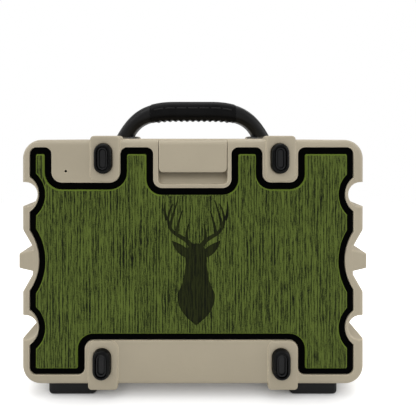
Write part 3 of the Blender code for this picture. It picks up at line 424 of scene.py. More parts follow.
def mat_outline(inset):
    """Outline of the back mat; inset > 0 shrinks it and < 0 grows it."""
    left_edge, right_edge = MAT_SIDES[0] + inset, MAT_SIDES[1] - inset
    high, low = MAT_HIGH - inset, MAT_LOW + inset
    outer_r = max(MAT_CORNER_R - inset, 1.5)
    corners = [(right_edge, high, outer_r)]
    for right, left, above, radius in MAT_TABS:
        ends, floor, inner_r = (right + inset, left - inset), BOTTOM + above - inset, radius + inset
        corners += [(ends[0], high, outer_r), (ends[0], floor, inner_r)]
        corners += [(ends[1], floor, inner_r), (ends[1], high, outer_r)]
    corners.append((left_edge, high, outer_r))
    left, right = MAT_PANEL[0] - inset, MAT_PANEL[1] + inset
    panel, panel_r = BOTTOM + MAT_PANEL_H + inset, MAT_PANEL_R + inset
    lower = [(left_edge, low, outer_r), (left, low, outer_r), (left, panel, panel_r)]
    lower += [(right, panel, panel_r), (right, low, outer_r), (right_edge, low, outer_r)]
    left_side, right_side = [], []
    for above, radius, depth in MAT_BITES:
        left_side += arc_notch(-1, BOTTOM + above, radius + inset, depth, -left_edge)[::-1]
    for above, radius, depth in reversed(MAT_BITES):
        deeper = depth + MAT_RIGHT_DEEPER
        right_side += arc_notch(1, BOTTOM + above, radius + inset, deeper, right_edge)[::-1]
    arcs = rounded(corners + lower, 8)
    split = next(i for i, point in enumerate(arcs) if point[0] < 0 and point[1] < MIDDLE)
    return arcs[:split] + left_side + arcs[split:] + right_side


def curve_points(corners, steps=14):
    """Points of a smooth line with the given control points (a Bezier of any degree)."""
    degree = len(corners) - 1
    points = []
    for step in range(steps + 1):
        t = step / steps
        weights = [math.comb(degree, i) * t**i * (1 - t) ** (degree - i) for i in range(degree + 1)]
        points.append(tuple(sum(w * c[axis] for w, c in zip(weights, corners)) for axis in (0, 1)))
    return points


def arch_outline(out_x, in_x, out_z, in_z, foot, steps=28, drop=0.0):
    """The handle arch seen from the front: legs that lean in, round shoulders and a flat bar. The legs
    start drop below the foot."""
    outer = [(out_x, 0), (out_x - 13.8, 0.665 * out_z), (out_x - 28.8, out_z), (20, out_z)]
    inner = [(in_x, 0), (in_x - 7.3, 0.707 * in_z), (in_x - 16.3, in_z), (18, in_z)]
    outline = []
    for controls, side in ((outer, 1), (inner, -1)):
        half = curve_points(controls, steps)
        if drop:
            half.insert(0, (half[0][0], -drop))
        mirrored = [(-x, z) for x, z in reversed(half)]
        outline += (half + mirrored)[::side]
    return [(x, foot + z) for x, z in outline]


def node_outline(node, radius, grow):
    """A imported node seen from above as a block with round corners, grown on every side."""
    (left, right), (near, far) = span(node, "X"), span(node, "Y")
    left, right, near, far = left - grow, right + grow, near - grow, far + grow
    corners = ((left, far), (right, far), (right, near), (left, near))
    return rounded([(x, y, radius) for x, y in corners], 6)


# ------------ materials


class Look:
    """A Principled material whose patterns lie in object space, in metres."""

    def __init__(self, name):
        self.material = bpy.data.materials.new(name)
        self.material.use_nodes = True
        self.tree = self.material.node_tree
        self.shader = self.tree.nodes["Principled BSDF"]
        self.place = self.tree.nodes.new("ShaderNodeTexCoord").outputs["Object"]

    def feed(self, node, values):
        """Gives a node's inputs, called by name or number, a value or a link."""
        for key, value in values.items():
            if isinstance(value, bpy.types.NodeSocket):
                self.tree.links.new(value, node.inputs[key])
            else:
                node.inputs[key].default_value = value
        return node

    def set(self, node, **values):
        """Gives a node's inputs a value or a link; an underscore in a name stands for a space."""
        return self.feed(node, {name.replace("_", " "): value for name, value in values.items()})

    def add(self, kind, **values):
        return self.set(self.tree.nodes.new("ShaderNode" + kind), **values)

    def noise(self, scale, detail=3.0, stretch=(1, 1, 1), distortion=0.0):
        """Noise from 0 to 1. Scale is in features a metre, and stretch multiplies it along each axis."""
        place = self.place
        if stretch != (1, 1, 1):
            place = self.add("Mapping", Vector=place, Scale=stretch).outputs["Vector"]
        node = self.add("TexNoise", Vector=place, Scale=scale, Detail=detail, Distortion=distortion)
        return node.outputs["Fac"]

    def spread(self, value, low=0.0, high=1.0, start=0.3, end=0.7):
        """Maps a pattern from start..end to low..high."""
        limits = {"From Min": start, "From Max": end, "To Min": low, "To Max": high}
        node = self.feed(self.add("MapRange", Value=value), limits)
        return node.outputs["Result"]

    def ramp(self, value, *stops):
        node = self.add("ValToRGB", Fac=value)
        elements = node.color_ramp.elements
        while len(elements) < len(stops):
            elements.new(0.5)
        for element, (position, colour) in zip(elements, stops):
            element.position = position
            element.color = colour
        return node.outputs["Color"]

    def mix(self, share, first, second):
        node = self.add("Mix")
        node.data_type = "RGBA"
        self.feed(node, {0: share, 6: first, 7: second})
        return node.outputs[2]

    def maths(self, kind, first, second):
        node = self.add("Math")
        node.operation = kind
        self.feed(node, {0: first, 1: second})
        return node.outputs[0]

    def bump(self, height, strength, depth, normal=None):
        """A bump normal; depth is the height of the pattern in millimetres."""
        node = self.add("Bump", Height=height, Strength=strength, Distance=depth * MM)
        if normal is not None:
            self.set(node, Normal=normal)
        return node.outputs["Normal"]

    def edges(self, radius):
        """A rounded normal for small edges, and a mask that is 1 on them."""
        bevel = self.add("Bevel", Radius=radius * MM)
        bevel.samples = 4
        normal = bevel.outputs["Normal"]
        dot = self.add("VectorMath")
        dot.operation = "DOT_PRODUCT"
        self.feed(dot, {0: normal, 1: self.add("NewGeometry").outputs["Normal"]})
        return normal, self.spread(dot.outputs["Value"], 1.0, 0.0, 0.8, 0.99)

    def finish(self, colour, roughness, normal=None, metallic=0.0, specular=0.5):
        self.set(self.shader, Base_Color=colour, Roughness=roughness, Metallic=metallic)
        self.set(self.shader, Specular_IOR_Level=specular)
        if normal is not None:
            self.set(self.shader, Normal=normal)
        return self.material


def srgb(red, green, blue):
    """A linear colour from 8-bit sRGB values."""
    levels = [level / 255 for level in (red, green, blue)]
    linear = [v / 12.92 if v <= 0.04045 else ((v + 0.055) / 1.055) ** 2.4 for v in levels]
    return (*linear, 1.0)


def tinted(colour, gain, lift=0.0):
    """The colour made lighter or darker."""
    return [min(1.0, level * gain + lift) for level in colour[:3]] + [1]


def make_plastic(name, colour, roughness=0.5, grain=0.12, highlight_gain=1.9, specular=0.5):
    """Moulded, finely textured plastic: clouded colour, spark-eroded grain and paler edges, a painted
    highlight.
    """
    look = Look(name)
    clouds = look.noise(22, 4.0)
    base = look.mix(look.spread(clouds), tinted(colour, 0.93), colour)
    specks = look.spread(look.noise(420, 2.0), 0.0, 0.35, 0.62, 0.8)
    base = look.mix(specks, base, tinted(colour, 0.8))
    normal, mask = look.edges(1.6)
    # Paler small edges, patchy along their length: a painted highlight.
    highlight_share = look.maths("MULTIPLY", mask, look.spread(look.noise(160, 4.0), 0.55, 1.0))
    base = look.mix(highlight_share, base, tinted(colour, highlight_gain))
    fine = look.bump(look.noise(1500, 2.0), grain, 0.25, normal)
    soft = look.bump(look.noise(90, 3.0), 0.05, 0.6, fine)
    return look.finish(base, look.spread(clouds, roughness - 0.07, roughness + 0.08), soft, specular=specular)


def make_rubber(name, colour, roughness=0.62, specular=0.3):
    """Dark moulded rubber with a dusty bloom, paler edges that are a painted highlight, and a fine stipple."""
    look = Look(name)
    clouds = look.noise(55, 5.0)
    base = look.mix(look.spread(clouds), colour, tinted(colour, 1.7, 0.002))
    normal, mask = look.edges(0.6)
    # Paler edges: a painted highlight.
    base = look.mix(look.maths("MULTIPLY", mask, 0.5), base, tinted(colour, 2.6, 0.01))
    stipple = look.bump(look.noise(1100, 2.0), 0.25, 0.2, normal)
    rough = look.spread(clouds, roughness - 0.1, roughness + 0.1)
    return look.finish(base, rough, stipple, specular=specular)


def make_metal(name, colour, roughness):
    """Bright metal with fine brushing and faint stains."""
    look = Look(name)
    stains = look.noise(60, 5.0)
    base = look.mix(look.spread(stains), tinted(colour, 0.8), colour)
    lines = look.noise(900, 3.0, (1, 1, 12))
    rough = look.spread(lines, roughness - 0.08, roughness + 0.12)
    return look.finish(base, rough, look.bump(lines, 0.15, 0.05), metallic=1.0)


def make_foam(name, dark, light, streaked=True):
    """Brushed closed-cell foam. The strokes run up and down, and the pores are fine."""
    look = Look(name)
    pores = look.noise(1700, 3.0)
    if not streaked:
        base = look.mix(look.spread(pores), dark, light)
        return look.finish(base, 0.95, look.bump(pores, 0.1, 0.5), specular=0.03)
    stripes = look.add("TexWave", Vector=look.place, Scale=0.1 * math.pi / STRIPE_PITCH, Distortion=2.0)
    long_strokes = look.noise(1600, 1.0, (1, 1, 0.012))
    short_strokes = look.noise(1500, 1.0, (1, 1, 0.08))
    pattern = look.maths("MULTIPLY", long_strokes, 0.4)
    for value, share in ((short_strokes, 0.3), (pores, 0.24), (stripes.outputs["Fac"], 0.06)):
        pattern = look.maths("ADD", pattern, look.maths("MULTIPLY", value, share))
    middle_tone = [(a + b) / 2 for a, b in zip(dark, light)]
    base = look.ramp(pattern, (0.42, dark), (0.49, middle_tone), (0.54, light))
    return look.finish(base, look.spread(pores, 0.75, 0.95), look.bump(pattern, 0.4, 0.4), specular=0.15)


def make_cone_paper(name, low, high):
    """Pressed speaker cone: fibres, clouded colour and a slight sheen."""
    look = Look(name)
    fibres = look.noise(700, 5.0, (1, 0.3, 1), 0.6)
    clouds = look.noise(40, 3.0)
    base = look.mix(look.spread(clouds), low, high)
    base = look.mix(look.spread(fibres, 0.0, 0.35), base, tinted(high, 1.35))
    return look.finish(base, look.spread(fibres, 0.45, 0.65), look.bump(fibres, 0.3, 0.2), specular=0.4)


def make_board(name):
    """Circuit board: solder mask over copper tracks and speckled glass."""
    look = Look(name)
    greens = {"Color1": srgb(14, 44, 30), "Color2": srgb(10, 34, 24), "Mortar": srgb(26, 66, 42)}
    tracks = look.feed(look.add("TexBrick", Vector=look.place, Scale=60.0), greens)
    specks = look.noise(900, 2.0)
    base = look.mix(look.spread(specks, 0.0, 0.3), tracks.outputs["Color"], srgb(90, 86, 50))
    return look.finish(base, look.spread(specks, 0.3, 0.5), look.bump(specks, 0.1, 0.1))


def make_cloth(name, dark, light):
    """Coarse woven cloth of the speaker's centring ring."""
    look = Look(name)
    waves = look.add("TexWave", Vector=look.place, Scale=260.0, Distortion=1.0)
    across = look.noise(1400, 2.0, (1, 0.2, 1))
    base = look.mix(waves.outputs["Fac"], dark, light)
    return look.finish(base, look.spread(across, 0.7, 0.9), look.bump(waves.outputs["Fac"], 0.4, 0.2))


STRIPE_PITCH = 0.0026  # metres from one brushed stripe of the mat to the next
TAN = srgb(186, 175, 152)
tan_plastic = make_plastic("tan_plastic", TAN)
ring_plastic = make_plastic("pale_tan_plastic", srgb(196, 184, 158), 0.42, 0.08)
black_rubber = make_rubber("black_rubber", srgb(12, 12, 13))
grip_rubber = make_rubber("grip_rubber", srgb(3, 3, 4), 0.42, 0.16)
bumper_rubber = make_rubber("bumper_rubber", srgb(1, 1, 1), 0.3, 0.16)
# Paler rubber; on the bumper rings and the grip dashes its paleness is a painted highlight.
bumper_core = make_rubber("bumper_core", srgb(20, 20, 21), 0.4, 0.3)
black_plastic = make_plastic("black_plastic", srgb(26, 26, 29), 0.42, 0.1, 1.5)
handle_plastic = make_plastic("handle_plastic", srgb(4, 4, 5), 0.36, 0.08, 1.4, 0.34)
steel = make_metal("steel", srgb(200, 200, 202), 0.28)
dull_steel = make_metal("dull_steel", srgb(100, 100, 102), 0.42)
dark_dome = make_metal("dark_dome", srgb(52, 52, 56), 0.4)
aluminium = make_metal("aluminium", srgb(190, 192, 196), 0.35)
ferrite = make_plastic("ferrite", srgb(44, 44, 46), 0.55, 0.2, 1.3)
foam_black = make_foam("foam_black", srgb(1, 1, 1), srgb(5, 5, 5), False)
foam_green = make_foam("foam_green", srgb(14, 18, 6), srgb(97, 112, 48))
foam_stag = make_foam("foam_stag", srgb(10, 13, 4), srgb(40, 46, 15))
# Lighter green for the mat's slanted rim and sides: a painted highlight.
foam_rim_highlight = make_foam("foam_rim_highlight", srgb(94, 112, 43), srgb(108, 128, 50), False)
cone_paper = make_cone_paper("cone_paper", srgb(150, 60, 30), srgb(222, 100, 56))
circuit_board = make_board("circuit_board")
battery_wrap = make_rubber("battery_wrap", srgb(24, 56, 110), 0.35)
spider_cloth = make_cloth("spider_cloth", srgb(120, 90, 40), srgb(176, 140, 74))
print_paint = make_plastic("print_paint", srgb(208, 206, 200), 0.5, 0.05)


def shade(item, angle=35):
    item.data.shade_smooth()
    item.data.set_sharp_from_angle(angle=math.radians(angle))


def place(item, material, body, slot, *nodes, angle=35):
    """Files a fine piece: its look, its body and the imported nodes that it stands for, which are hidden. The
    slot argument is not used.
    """
    item.data.materials.clear()
    item.data.materials.append(material)
    shade(item, angle)
    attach(item, body)
    if nodes:
        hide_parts(*nodes)
    return item


# ------------ case shells


def side_slot_outlines(grow=0.0):
    height = 2 * (NOTCH_R + grow)
    return [
        pill(side * (NOTCH_X + 20), BOTTOM + above, 40 + height, height)
        for side in (-1, 1)
        for above in NOTCH_HEIGHTS
    ]


def scallop_outlines(grow=0.0, corner=1.6):
    """The cuts above and below each side rib, which slope in from the side to the rib's root."""
    mid = BOTTOM + RIB_H
    inner_x, outer_x = SCALLOP_X - grow, HALF_W + 14
    inner_half = SCALLOP_HALF + 0.27 * grow
    outer_half = inner_half + SCALLOP_SLOPE * (outer_x - inner_x)
    top, bottom = mid + inner_half, mid - inner_half
    corners = [(outer_x, mid + outer_half, 0), (inner_x, top, corner)]
    corners += [(inner_x, bottom, corner), (outer_x, mid - outer_half, 0)]
    return both_sides(corners, 4)


def plates(name, outlines, ys, edge=0.0, steps=3):
    return [plate(name, [outline], ys, edge, steps=steps) for outline in outlines]


def chamfers(name, narrow, wide, face_y, outward, depth):
    """Flared mouths for openings in a face that looks along outward * Y."""
    ys = (face_y - outward * depth, face_y + outward * 0.02)
    return [flare(name, near, far, ys) for near, far in zip(narrow, wide)]


def side_ribs(ys):
    mid, root_x = BOTTOM + RIB_H, SCALLOP_X - 2
    corners = [(root_x, mid + RIB_ROOT, 0), (root_x, mid - RIB_ROOT, 0)]
    corners += [(RIB_X, mid - RIB_TIP, 1.4), (RIB_X, mid + RIB_TIP, 1.4)]
    return plates("side_rib", both_sides(corners, 4), ys, 1.2)


def screw_places():
    x = middle("case_screw_3", "X")
    return [(side * abs(x), BOTTOM + above) for side in (-1, 1) for above in NOTCH_HEIGHTS]


def lug_trims(ys):
    cutters = []
    for x, z in screw_places():
        xs = sorted((math.copysign(LUG_X, x), math.copysign(HALF_W + 4, x)))
        cutters.append(box("lug_trim", xs, ys, (z - NOTCH_R - GAP, z + NOTCH_R + GAP)))
    return cutters


def screw_holes():
    return [rod("screw_hole", SCREW_HOLE_R, (x, -60, z), (x, -27, z), 16) for x, z in screw_places()]


def cavity(ys):
    """The hollow of the case, drawn in behind the side pockets and scallops."""
    half = HALF_W - WALL
    hollow = box("cavity", (-half, half), ys, (BOTTOM + WALL, TOP - WALL), CORNER_R - WALL, "Y", 6)
    around = (ys[0] - 5, ys[1] + 5)
    cut(hollow, *plates("slot_wall", side_slot_outlines(WALL), around))
    return cut(hollow, *plates("scallop_wall", scallop_outlines(WALL, 0), around))


def rails(ys, zs, radius=RAIL_ROUND):
    made = []
    for side in (-1, 1):
        xs = (side * RAIL_X - RAIL_HALF, side * RAIL_X + RAIL_HALF)
        made.append(box("rail", xs, ys, zs, radius))
    return made


def rear_pads(ys):
    """Raised pads behind the bumpers, with round corners towards the middle of the back."""
    made = []
    for (near, far), (low, high) in (TOP_PADS, LOW_PADS):
        low_r, high_r = (PAD_CORNER_R, RAIL_ROUND) if low > MIDDLE else (RAIL_ROUND, PAD_CORNER_R)
        corners = [(near, high, high_r), (far, high, high_r), (far, low, low_r), (near, low, low_r)]
        made += plates("rear_pad", both_sides(corners, 8), ys, 1.15, 4)
    return made


def port_scoop():
    """The ramp below the door, which leads a finger in behind its lower edge."""
    reach = DOOR_HALF + 1.0
    foot, lip, floor = RECESS_LOW - 1, DOOR_LOW - 0.5, RECESS_FLOOR_Y
    outline = [(BACK_Y - 2.0, foot), (BACK_Y - 5.4, RECESS_LOW + 4), (floor + 0.3, lip)]
    outline += [(floor - 1, lip), (floor - 1, foot)]
    return loft("port_scoop", [[(x, y, z) for y, z in outline] for x in (-reach, reach)])


def pad_outline(side, up, grow=0.0):
    """One raised pad of the bezel, between two ovals and the sides of a rail."""
    low, high = RAIL_X - RAIL_HALF - grow, RAIL_X + RAIL_HALF + grow
    outline = []
    for reach, places in ((PAD_REACH + grow, (low, high)), (-4.0 - grow, (high, low))):
        width, height = BEZEL_OUT[0] + reach, BEZEL_OUT[1] + reach
        for step in range(9):
            x = places[0] + (places[1] - places[0]) * step / 8
            outline.append((side * x, MIDDLE + up * height * math.sqrt(1 - (x / width) ** 2)))
    return outline


def bezel_pads(ys, grow=0.0, edge=0.0):
    outlines = [pad_outline(side, up, grow) for side in (-1, 1) for up in (-1, 1)]
    return plates("bezel_pad", outlines, ys, edge)


def carve_sides(shell, face_y, slot_ys, trim_ys, scallop_ys, rib_ys, mouth):
    """Cuts the screw pockets, screw holes and scallops of a shell, and then adds its side ribs."""
    outward = math.copysign(1, face_y)
    slots, dips = side_slot_outlines(), scallop_outlines()
    cut(shell, *plates("side_slot", slots, slot_ys))
    cut(shell, *chamfers("slot_mouth", slots, side_slot_outlines(mouth), face_y, outward, mouth))
    cut(shell, *lug_trims(trim_ys))
    cut(shell, *screw_holes())
    cut(shell, *plates("scallop", dips, scallop_ys))
    cut(shell, *chamfers("scallop_mouth", dips, scallop_outlines(1.0), face_y, outward, 1.0))
    join(shell, *side_ribs(rib_ys))


def make_front_shell():
    back, beyond = FRONT_BACK_Y, FRONT_Y - 10
    shell = box("front_shell", (-HALF_W, HALF_W), (FRONT_Y, back), (BOTTOM, TOP), CORNER_R, "Y", 12)
    round_rim(shell, FRONT_Y, EDGE_R)
    join(shell, *rails((FRONT_Y - RAIL_RISE, back + 9), (TOP - 30, TOP + RAIL_RISE)))
    join(shell, *rails((FRONT_Y - RAIL_RISE, FRONT_Y + 5), (BOTTOM - RAIL_RISE, BOTTOM + 30)))
    deck = (-DECK_HALF, DECK_HALF), (FRONT_Y + 6, back + 6), (TOP - 4, TOP + DECK_RISE)
    join(shell, box("deck_front", *deck, 1.2))
    cut(shell, box("behind", (-FAR, FAR), (back, back + 30), (-20, 300)))
    cut(shell, cavity((FRONT_Y + WALL, back + 20)))
    join(shell, plate("baffle_ring", [oval(POCKET[0] + 6, POCKET[1] + 6)], (FRONT_Y + 2, back)))
    trims, ribs = (LUG_FRONT_Y - 1, back + 5), (FRONT_Y + 1, back)
    carve_sides(shell, FRONT_Y, (beyond, LUG_FRONT_Y), trims, (beyond, back + 5), ribs, 1.2)
    cut(shell, plate("grille_pocket", [oval(*POCKET)], (beyond, LEDGE_Y)))
    seat = BEZEL_OUT[0] + GAP, BEZEL_OUT[1] + GAP
    cut(shell, plate("bezel_seat", [oval(*seat)], (beyond, BEZEL_SEAT_Y)))
    cut(shell, *bezel_pads((beyond, BEZEL_SEAT_Y + 0.1), GAP))
    cut(shell, plate("throat", [oval(*THROAT)], (beyond, back + 10)))
    # A narrow shadow line round the bezel: distance outside it, distance from the front
    groove = [(3.2, -4.4), (4.4, -4.4), (4.0, 0.7), (3.6, 0.7)]
    section = [(BEZEL_OUT[0] + reach, BEZEL_OUT[1] + reach, FRONT_Y + deep) for reach, deep in groove]
    cut(shell, oval_sweep("shadow_groove", section))
    return shell


def make_rear_shell():
    front, beyond = REAR_FRONT_Y, BACK_Y + 10
    shell = box("rear_shell", (-HALF_W, HALF_W), (front, BACK_Y), (BOTTOM, TOP), CORNER_R, "Y", 12)
    round_rim(shell, BACK_Y, EDGE_R)
    join(shell, *rails(RAIL_BACK_Y, (TOP - 30, TOP + RAIL_RISE)))
    join(shell, *rear_pads((RECESS_Y - 0.2, PAD_BACK_Y)))
    deck = (-DECK_HALF, DECK_HALF), (front - 6, DECK_BACK_Y), (TOP - 4, TOP + DECK_RISE)
    join(shell, box("deck_rear", *deck, 1.2))
    cut(shell, box("ahead", (-FAR, FAR), (front - 30, front), (-20, 300)))

    hollow = cavity((front - 10, RECESS_Y - WALL))
    port_wall = (-DOOR_HALF - 5, DOOR_HALF + 5), (PORT_WALL_Y, 80), (RECESS_LOW - 5, TOP + 9)
    cut(hollow, box("port_wall", *port_wall))
    cut(shell, hollow)

    trims, ribs = (front - 5, LUG_BACK_Y + 1), (front, BACK_Y)
    carve_sides(shell, BACK_Y, (LUG_BACK_Y, beyond), trims, (front - 5, beyond), ribs, 0.6)

    seat = mat_outline(-0.4)
    cut(shell, plate("mat_recess", [seat], (RECESS_Y, beyond)))
    for x, z in bumper_places():
        cut(shell, plate("bumper_seat", [bumper_outline(x, z, GAP)], (BUMPER_Y[0] - GAP, beyond)))
    cut(shell, rod("sound_hole", 1.2, (MIC_X, 50, MIC_Z), (MIC_X, beyond, MIC_Z), 16))

    half = DOOR_HALF + 0.5
    corners = [(-half, TOP + 9, 0), (half, TOP + 9, 0), (half, RECESS_LOW, 4), (-half, RECESS_LOW, 4)]
    cut(shell, plate("port_recess", [rounded(corners, 8)], (RECESS_FLOOR_Y, beyond)))
    join(shell, port_scoop())
    port_xs, port_zs = span("port_plate", "X"), span("port_plate", "Z")
    window = (port_xs[0] - GAP, port_xs[1] + GAP), (PORT_WALL_Y - 5, RECESS_FLOOR_Y + 5)
    cut(shell, box("port_window", *window, (port_zs[0] - GAP, port_zs[1] + GAP)))
    reach = span("port_hinge_pin", "X")[1] + GAP
    ends = (-reach, PIN_Y, PIN_Z), (reach, PIN_Y, PIN_Z)
    cut(shell, rod("pin_bore", PIN_R + GAP, *ends, 16))

    deck_z = TOP + DECK_RISE
    seat_z = span("control_plate", "Z")[0] - GAP
    cut(shell, plate("control_seat", [control_outline(GAP)], (seat_z, deck_z + 9), axis="Z"))
    for key in KEYS:
        cut(shell, plate("key_well", [key_outline(key, 0.5)], (TOP - 20, deck_z + 9), axis="Z"))
    for name in ("handle_bolt_left", "handle_bolt_right"):
        x = middle(name, "X")
        cut(shell, rod("handle_bolt_hole", BOLT_HOLE_R, (x, HANDLE_Y, TOP - 12), (x, HANDLE_Y, TOP + 12), 16))
    return shell


def make_sound_felt():
    """Black felt in the microphone's hole."""
    felt = rod("sound_felt", 1.15, (MIC_X, BACK_Y - 2.6, MIC_Z), (MIC_X, BACK_Y - 0.7, MIC_Z))
    place(felt, foam_black, "case", "foam_black")


def make_case():
    place(make_front_shell(), tan_plastic, "case", "tan_shell", "front_housing")
    place(make_rear_shell(), tan_plastic, "case", "tan_shell", "rear_housing")
    for number, (x, z) in enumerate(screw_places(), 1):
        head_y = span(f"case_screw_{number}", "Y")[0]
        profile = [(0, 0.6), (2.5, 0.6), (2.5, 4.2), (2.8, 4.5), (4.9, 4.5), (5.5, 3.9), (5.6, 3.2), (5.6, 0)]
        profile = [(radius, along - 4.5) for radius, along in profile]
        profile += [(2.6, -4.5), (2.6, -23), (0, -23)]
        screw = turned(f"socket_screw_{number}", profile, (x, head_y + 0.5, z), 36)
        place(screw, steel, "case", "steel", f"case_screw_{number}")


# ------------ back: mat, bumpers, door


def stroke(points, widths):
    """A tapered band along a bent line, as an outline."""
    left, right = [], []
    for i, point in enumerate(points):
        here = Vector(point)
        ahead = Vector(points[min(i + 1, len(points) - 1)]) - Vector(points[max(i - 1, 0)])
        across = Vector((-ahead.y, ahead.x)).normalized() * widths[i] / 2
        left.append(tuple(here + across))
        right.append(tuple(here - across))
    return left + right[::-1]


def taper(start, end, count):
    return [start + (end - start) * i / (count - 1) for i in range(count)]


STAG_X, STAG_LOW = -2.8, BOTTOM + 52.0


def stag_outlines():
    """A plain front view of a stag: neck with shoulders, head, ears and branched antlers."""
    half = curve_points([(0, 0), (3, 3), (13, 8), (16.5, 18), (16, 27)], 12)
    half += curve_points([(16, 27), (14, 33), (10, 36), (10.5, 43), (9, 52)], 10)[1:]
    half += curve_points([(9, 52), (10, 60), (8.5, 67), (6, 70), (0, 70.5)], 10)[1:]
    head = half + [(-x, z) for x, z in reversed(half[1:-1])]
    outlines = [head]
    for side in (-1, 1):
        ear = curve_points([(6.5, 64), (11, 70), (17, 71), (21, 73)], 8)
        ear += curve_points([(21, 73), (20, 66), (13, 58), (7.5, 58)], 8)[1:]
        beam = curve_points([(4.5, 68), (10, 80), (27, 74), (27, 92), (20, 104)], 20)
        tines = (
            [(8, 74), (8.5, 80), (6.5, 87)],
            [(17, 78.5), (15.5, 88), (12, 98)],
            [(23, 83), (20.5, 93), (16, 107)],
            [(25, 90), (28, 98), (26.5, 106)],
        )
        shapes = [ear, stroke(beam, taper(4.2, 1.2, len(beam)))]
        for tine in tines:
            path = curve_points(tine, 8)
            shapes.append(stroke(path, taper(3.0, 0.9, len(path))))
        outlines += [[(side * x, z) for x, z in shape] for shape in shapes]
    return [[(STAG_X + x, STAG_LOW + z) for x, z in outline] for outline in outlines]


def make_stag(name, ys):
    """The stag as one form; each part is a hair thicker than the last, so that no faces coincide."""
    pieces = []
    for number, outline in enumerate(stag_outlines()):
        extra = 0.004 * number
        pieces.append(plate(name, [outline], (ys[0] - extra, ys[1] + extra)))
    return join(pieces[0], *pieces[1:])


def make_mat():
    base = plate("mat_border", [mat_outline(0.0)], MAT_BASE_Y, 0.5)
    place(base, foam_black, "case", "foam_black", "mat_base")
    outline, inner = mat_outline(MAT_BORDER), mat_outline(MAT_BORDER + 1.1)
    face = plate("mat_sheet", [outline], (MAT_FACE_Y[0], MAT_FACE_Y[1] - 1.0))
    crown = flare("mat_crown", outline, inner, (MAT_FACE_Y[1] - 1.2, MAT_FACE_Y[1]))
    join(face, crown)
    engraved = MAT_FACE_Y[1] - 0.6
    cut(face, make_stag("stag_cut", (engraved, MAT_FACE_Y[1] + 2)))
    place(face, foam_green, "case", "foam_green", "mat_face")
    face.data.materials.append(foam_rim_highlight)
    # Slanted faces of the rim and sides, outside the stag, take the lighter green: a painted highlight along
    # the mat's edge.
    low, high = MAT_FACE_Y[1] - 1.05, MAT_FACE_Y[1] - 0.05
    for polygon in face.data.polygons:
        slanted = 0.2 < polygon.normal.y < 0.95 or abs(polygon.normal.y) < 0.2
        if slanted and polygon.center.y < high * MM and not in_stag(polygon.center):
            polygon.material_index = 1
    inlay = make_stag("stag_inlay", (engraved - 0.4, MAT_FACE_Y[1] - 0.3))
    place(inlay, foam_stag, "case", "foam_green")


def in_stag(point):
    x, z = point.x / MM - STAG_X, point.z / MM - STAG_LOW
    return abs(x) < 30 and -2 < z < 112


def bumper_places():
    return [(middle(f"rear_bumper_{n}", "X"), middle(f"rear_bumper_{n}", "Z")) for n in range(1, 5)]


def bumper_outline(x, z, grow=0.0):
    return pill(x, z, BUMPER[0] + 2 * grow, BUMPER[1] + 2 * grow, upright=True)


def make_bumpers():
    """Pill bumpers: a rounded outer rim, a groove, a thin inner ring and a sunk core."""
    low, high = BUMPER_Y
    for number, (x, z) in enumerate(bumper_places(), 1):
        bumper = plate(f"pill_bumper_{number}", [bumper_outline(x, z)], (low, high), 2.4, steps=5)
        mouth = pill(x, z, *BUMPER_MOUTH, upright=True)
        cut(bumper, plate("bumper_mouth", [mouth], (high - 2.6, high + 2)))
        place(bumper, bumper_rubber, "case", "black_rubber", f"rear_bumper_{number}")
        lips = [pill(x, z, *size, upright=True) for size in BUMPER_RING]
        ring = plate(f"bumper_ring_{number}", lips, (high - 2.8, high - 0.7), 0.6, steps=4)
        # The ring's paler rubber is a painted highlight round the groove.
        place(ring, bumper_core, "case", "black_rubber")
        sunk = [pill(x, z, *BUMPER_CORE, upright=True)]
        core = plate(f"bumper_core_{number}", sunk, (high - 3.0, high - 1.9), 0.5)
        place(core, bumper_core, "case", "black_rubber")


def make_door():
    corners = [
        (-DOOR_HALF, PIN_Z, 0),
        (DOOR_HALF, PIN_Z, 0),
        (DOOR_HALF, DOOR_LOW, 4),
        (-DOOR_HALF, DOOR_LOW, 4),
    ]
    door = plate("port_flap", [rounded(corners, 8)], (DOOR_OUT_Y - 4, DOOR_OUT_Y), 0.9, steps=4)
    ends = ((-DOOR_HALF, PIN_Y, PIN_Z), (DOOR_HALF, PIN_Y, PIN_Z))
    join(door, rod("door_barrel", KNUCKLE_R, *ends, 40))
    beyond = DOOR_HALF + 5
    cut(door, rod("door_bore", PIN_R + GAP, (-beyond, PIN_Y, PIN_Z), (beyond, PIN_Y, PIN_Z), 16))
    place(door, tan_plastic, "port_door", "tan_shell", "port_door")


# ------------ oval front and speaker


def slot_spans(row):
    """Centres and lengths of the grille slots of one row, counted from the middle row."""
    z = row * SLOT_PITCH_Z
    start = 0.0 if row % 2 else 0.5
    outer = SLOT_OVAL[0] * math.sqrt(max(0.0, 1 - (z / SLOT_OVAL[1]) ** 2))
    inner = SLOT_START - SLOT_LEAN * abs(z) if abs(z) < DOME_R + SLOT_CLEAR else 0.0
    spans = []
    for index in range(-4, 5):
        centre = (index + start) * SLOT_PITCH_X
        side = -1 if centre < 0 else 1
        near, far = abs(centre) - SLOT_LEN / 2, min(abs(centre) + SLOT_LEN / 2, outer)
        if inner:
            near = max(near, inner)
        if far - near > SLOT_SHORTEST * SLOT_H:
            spans.append((side * (near + far) / 2, far - near))
    return spans


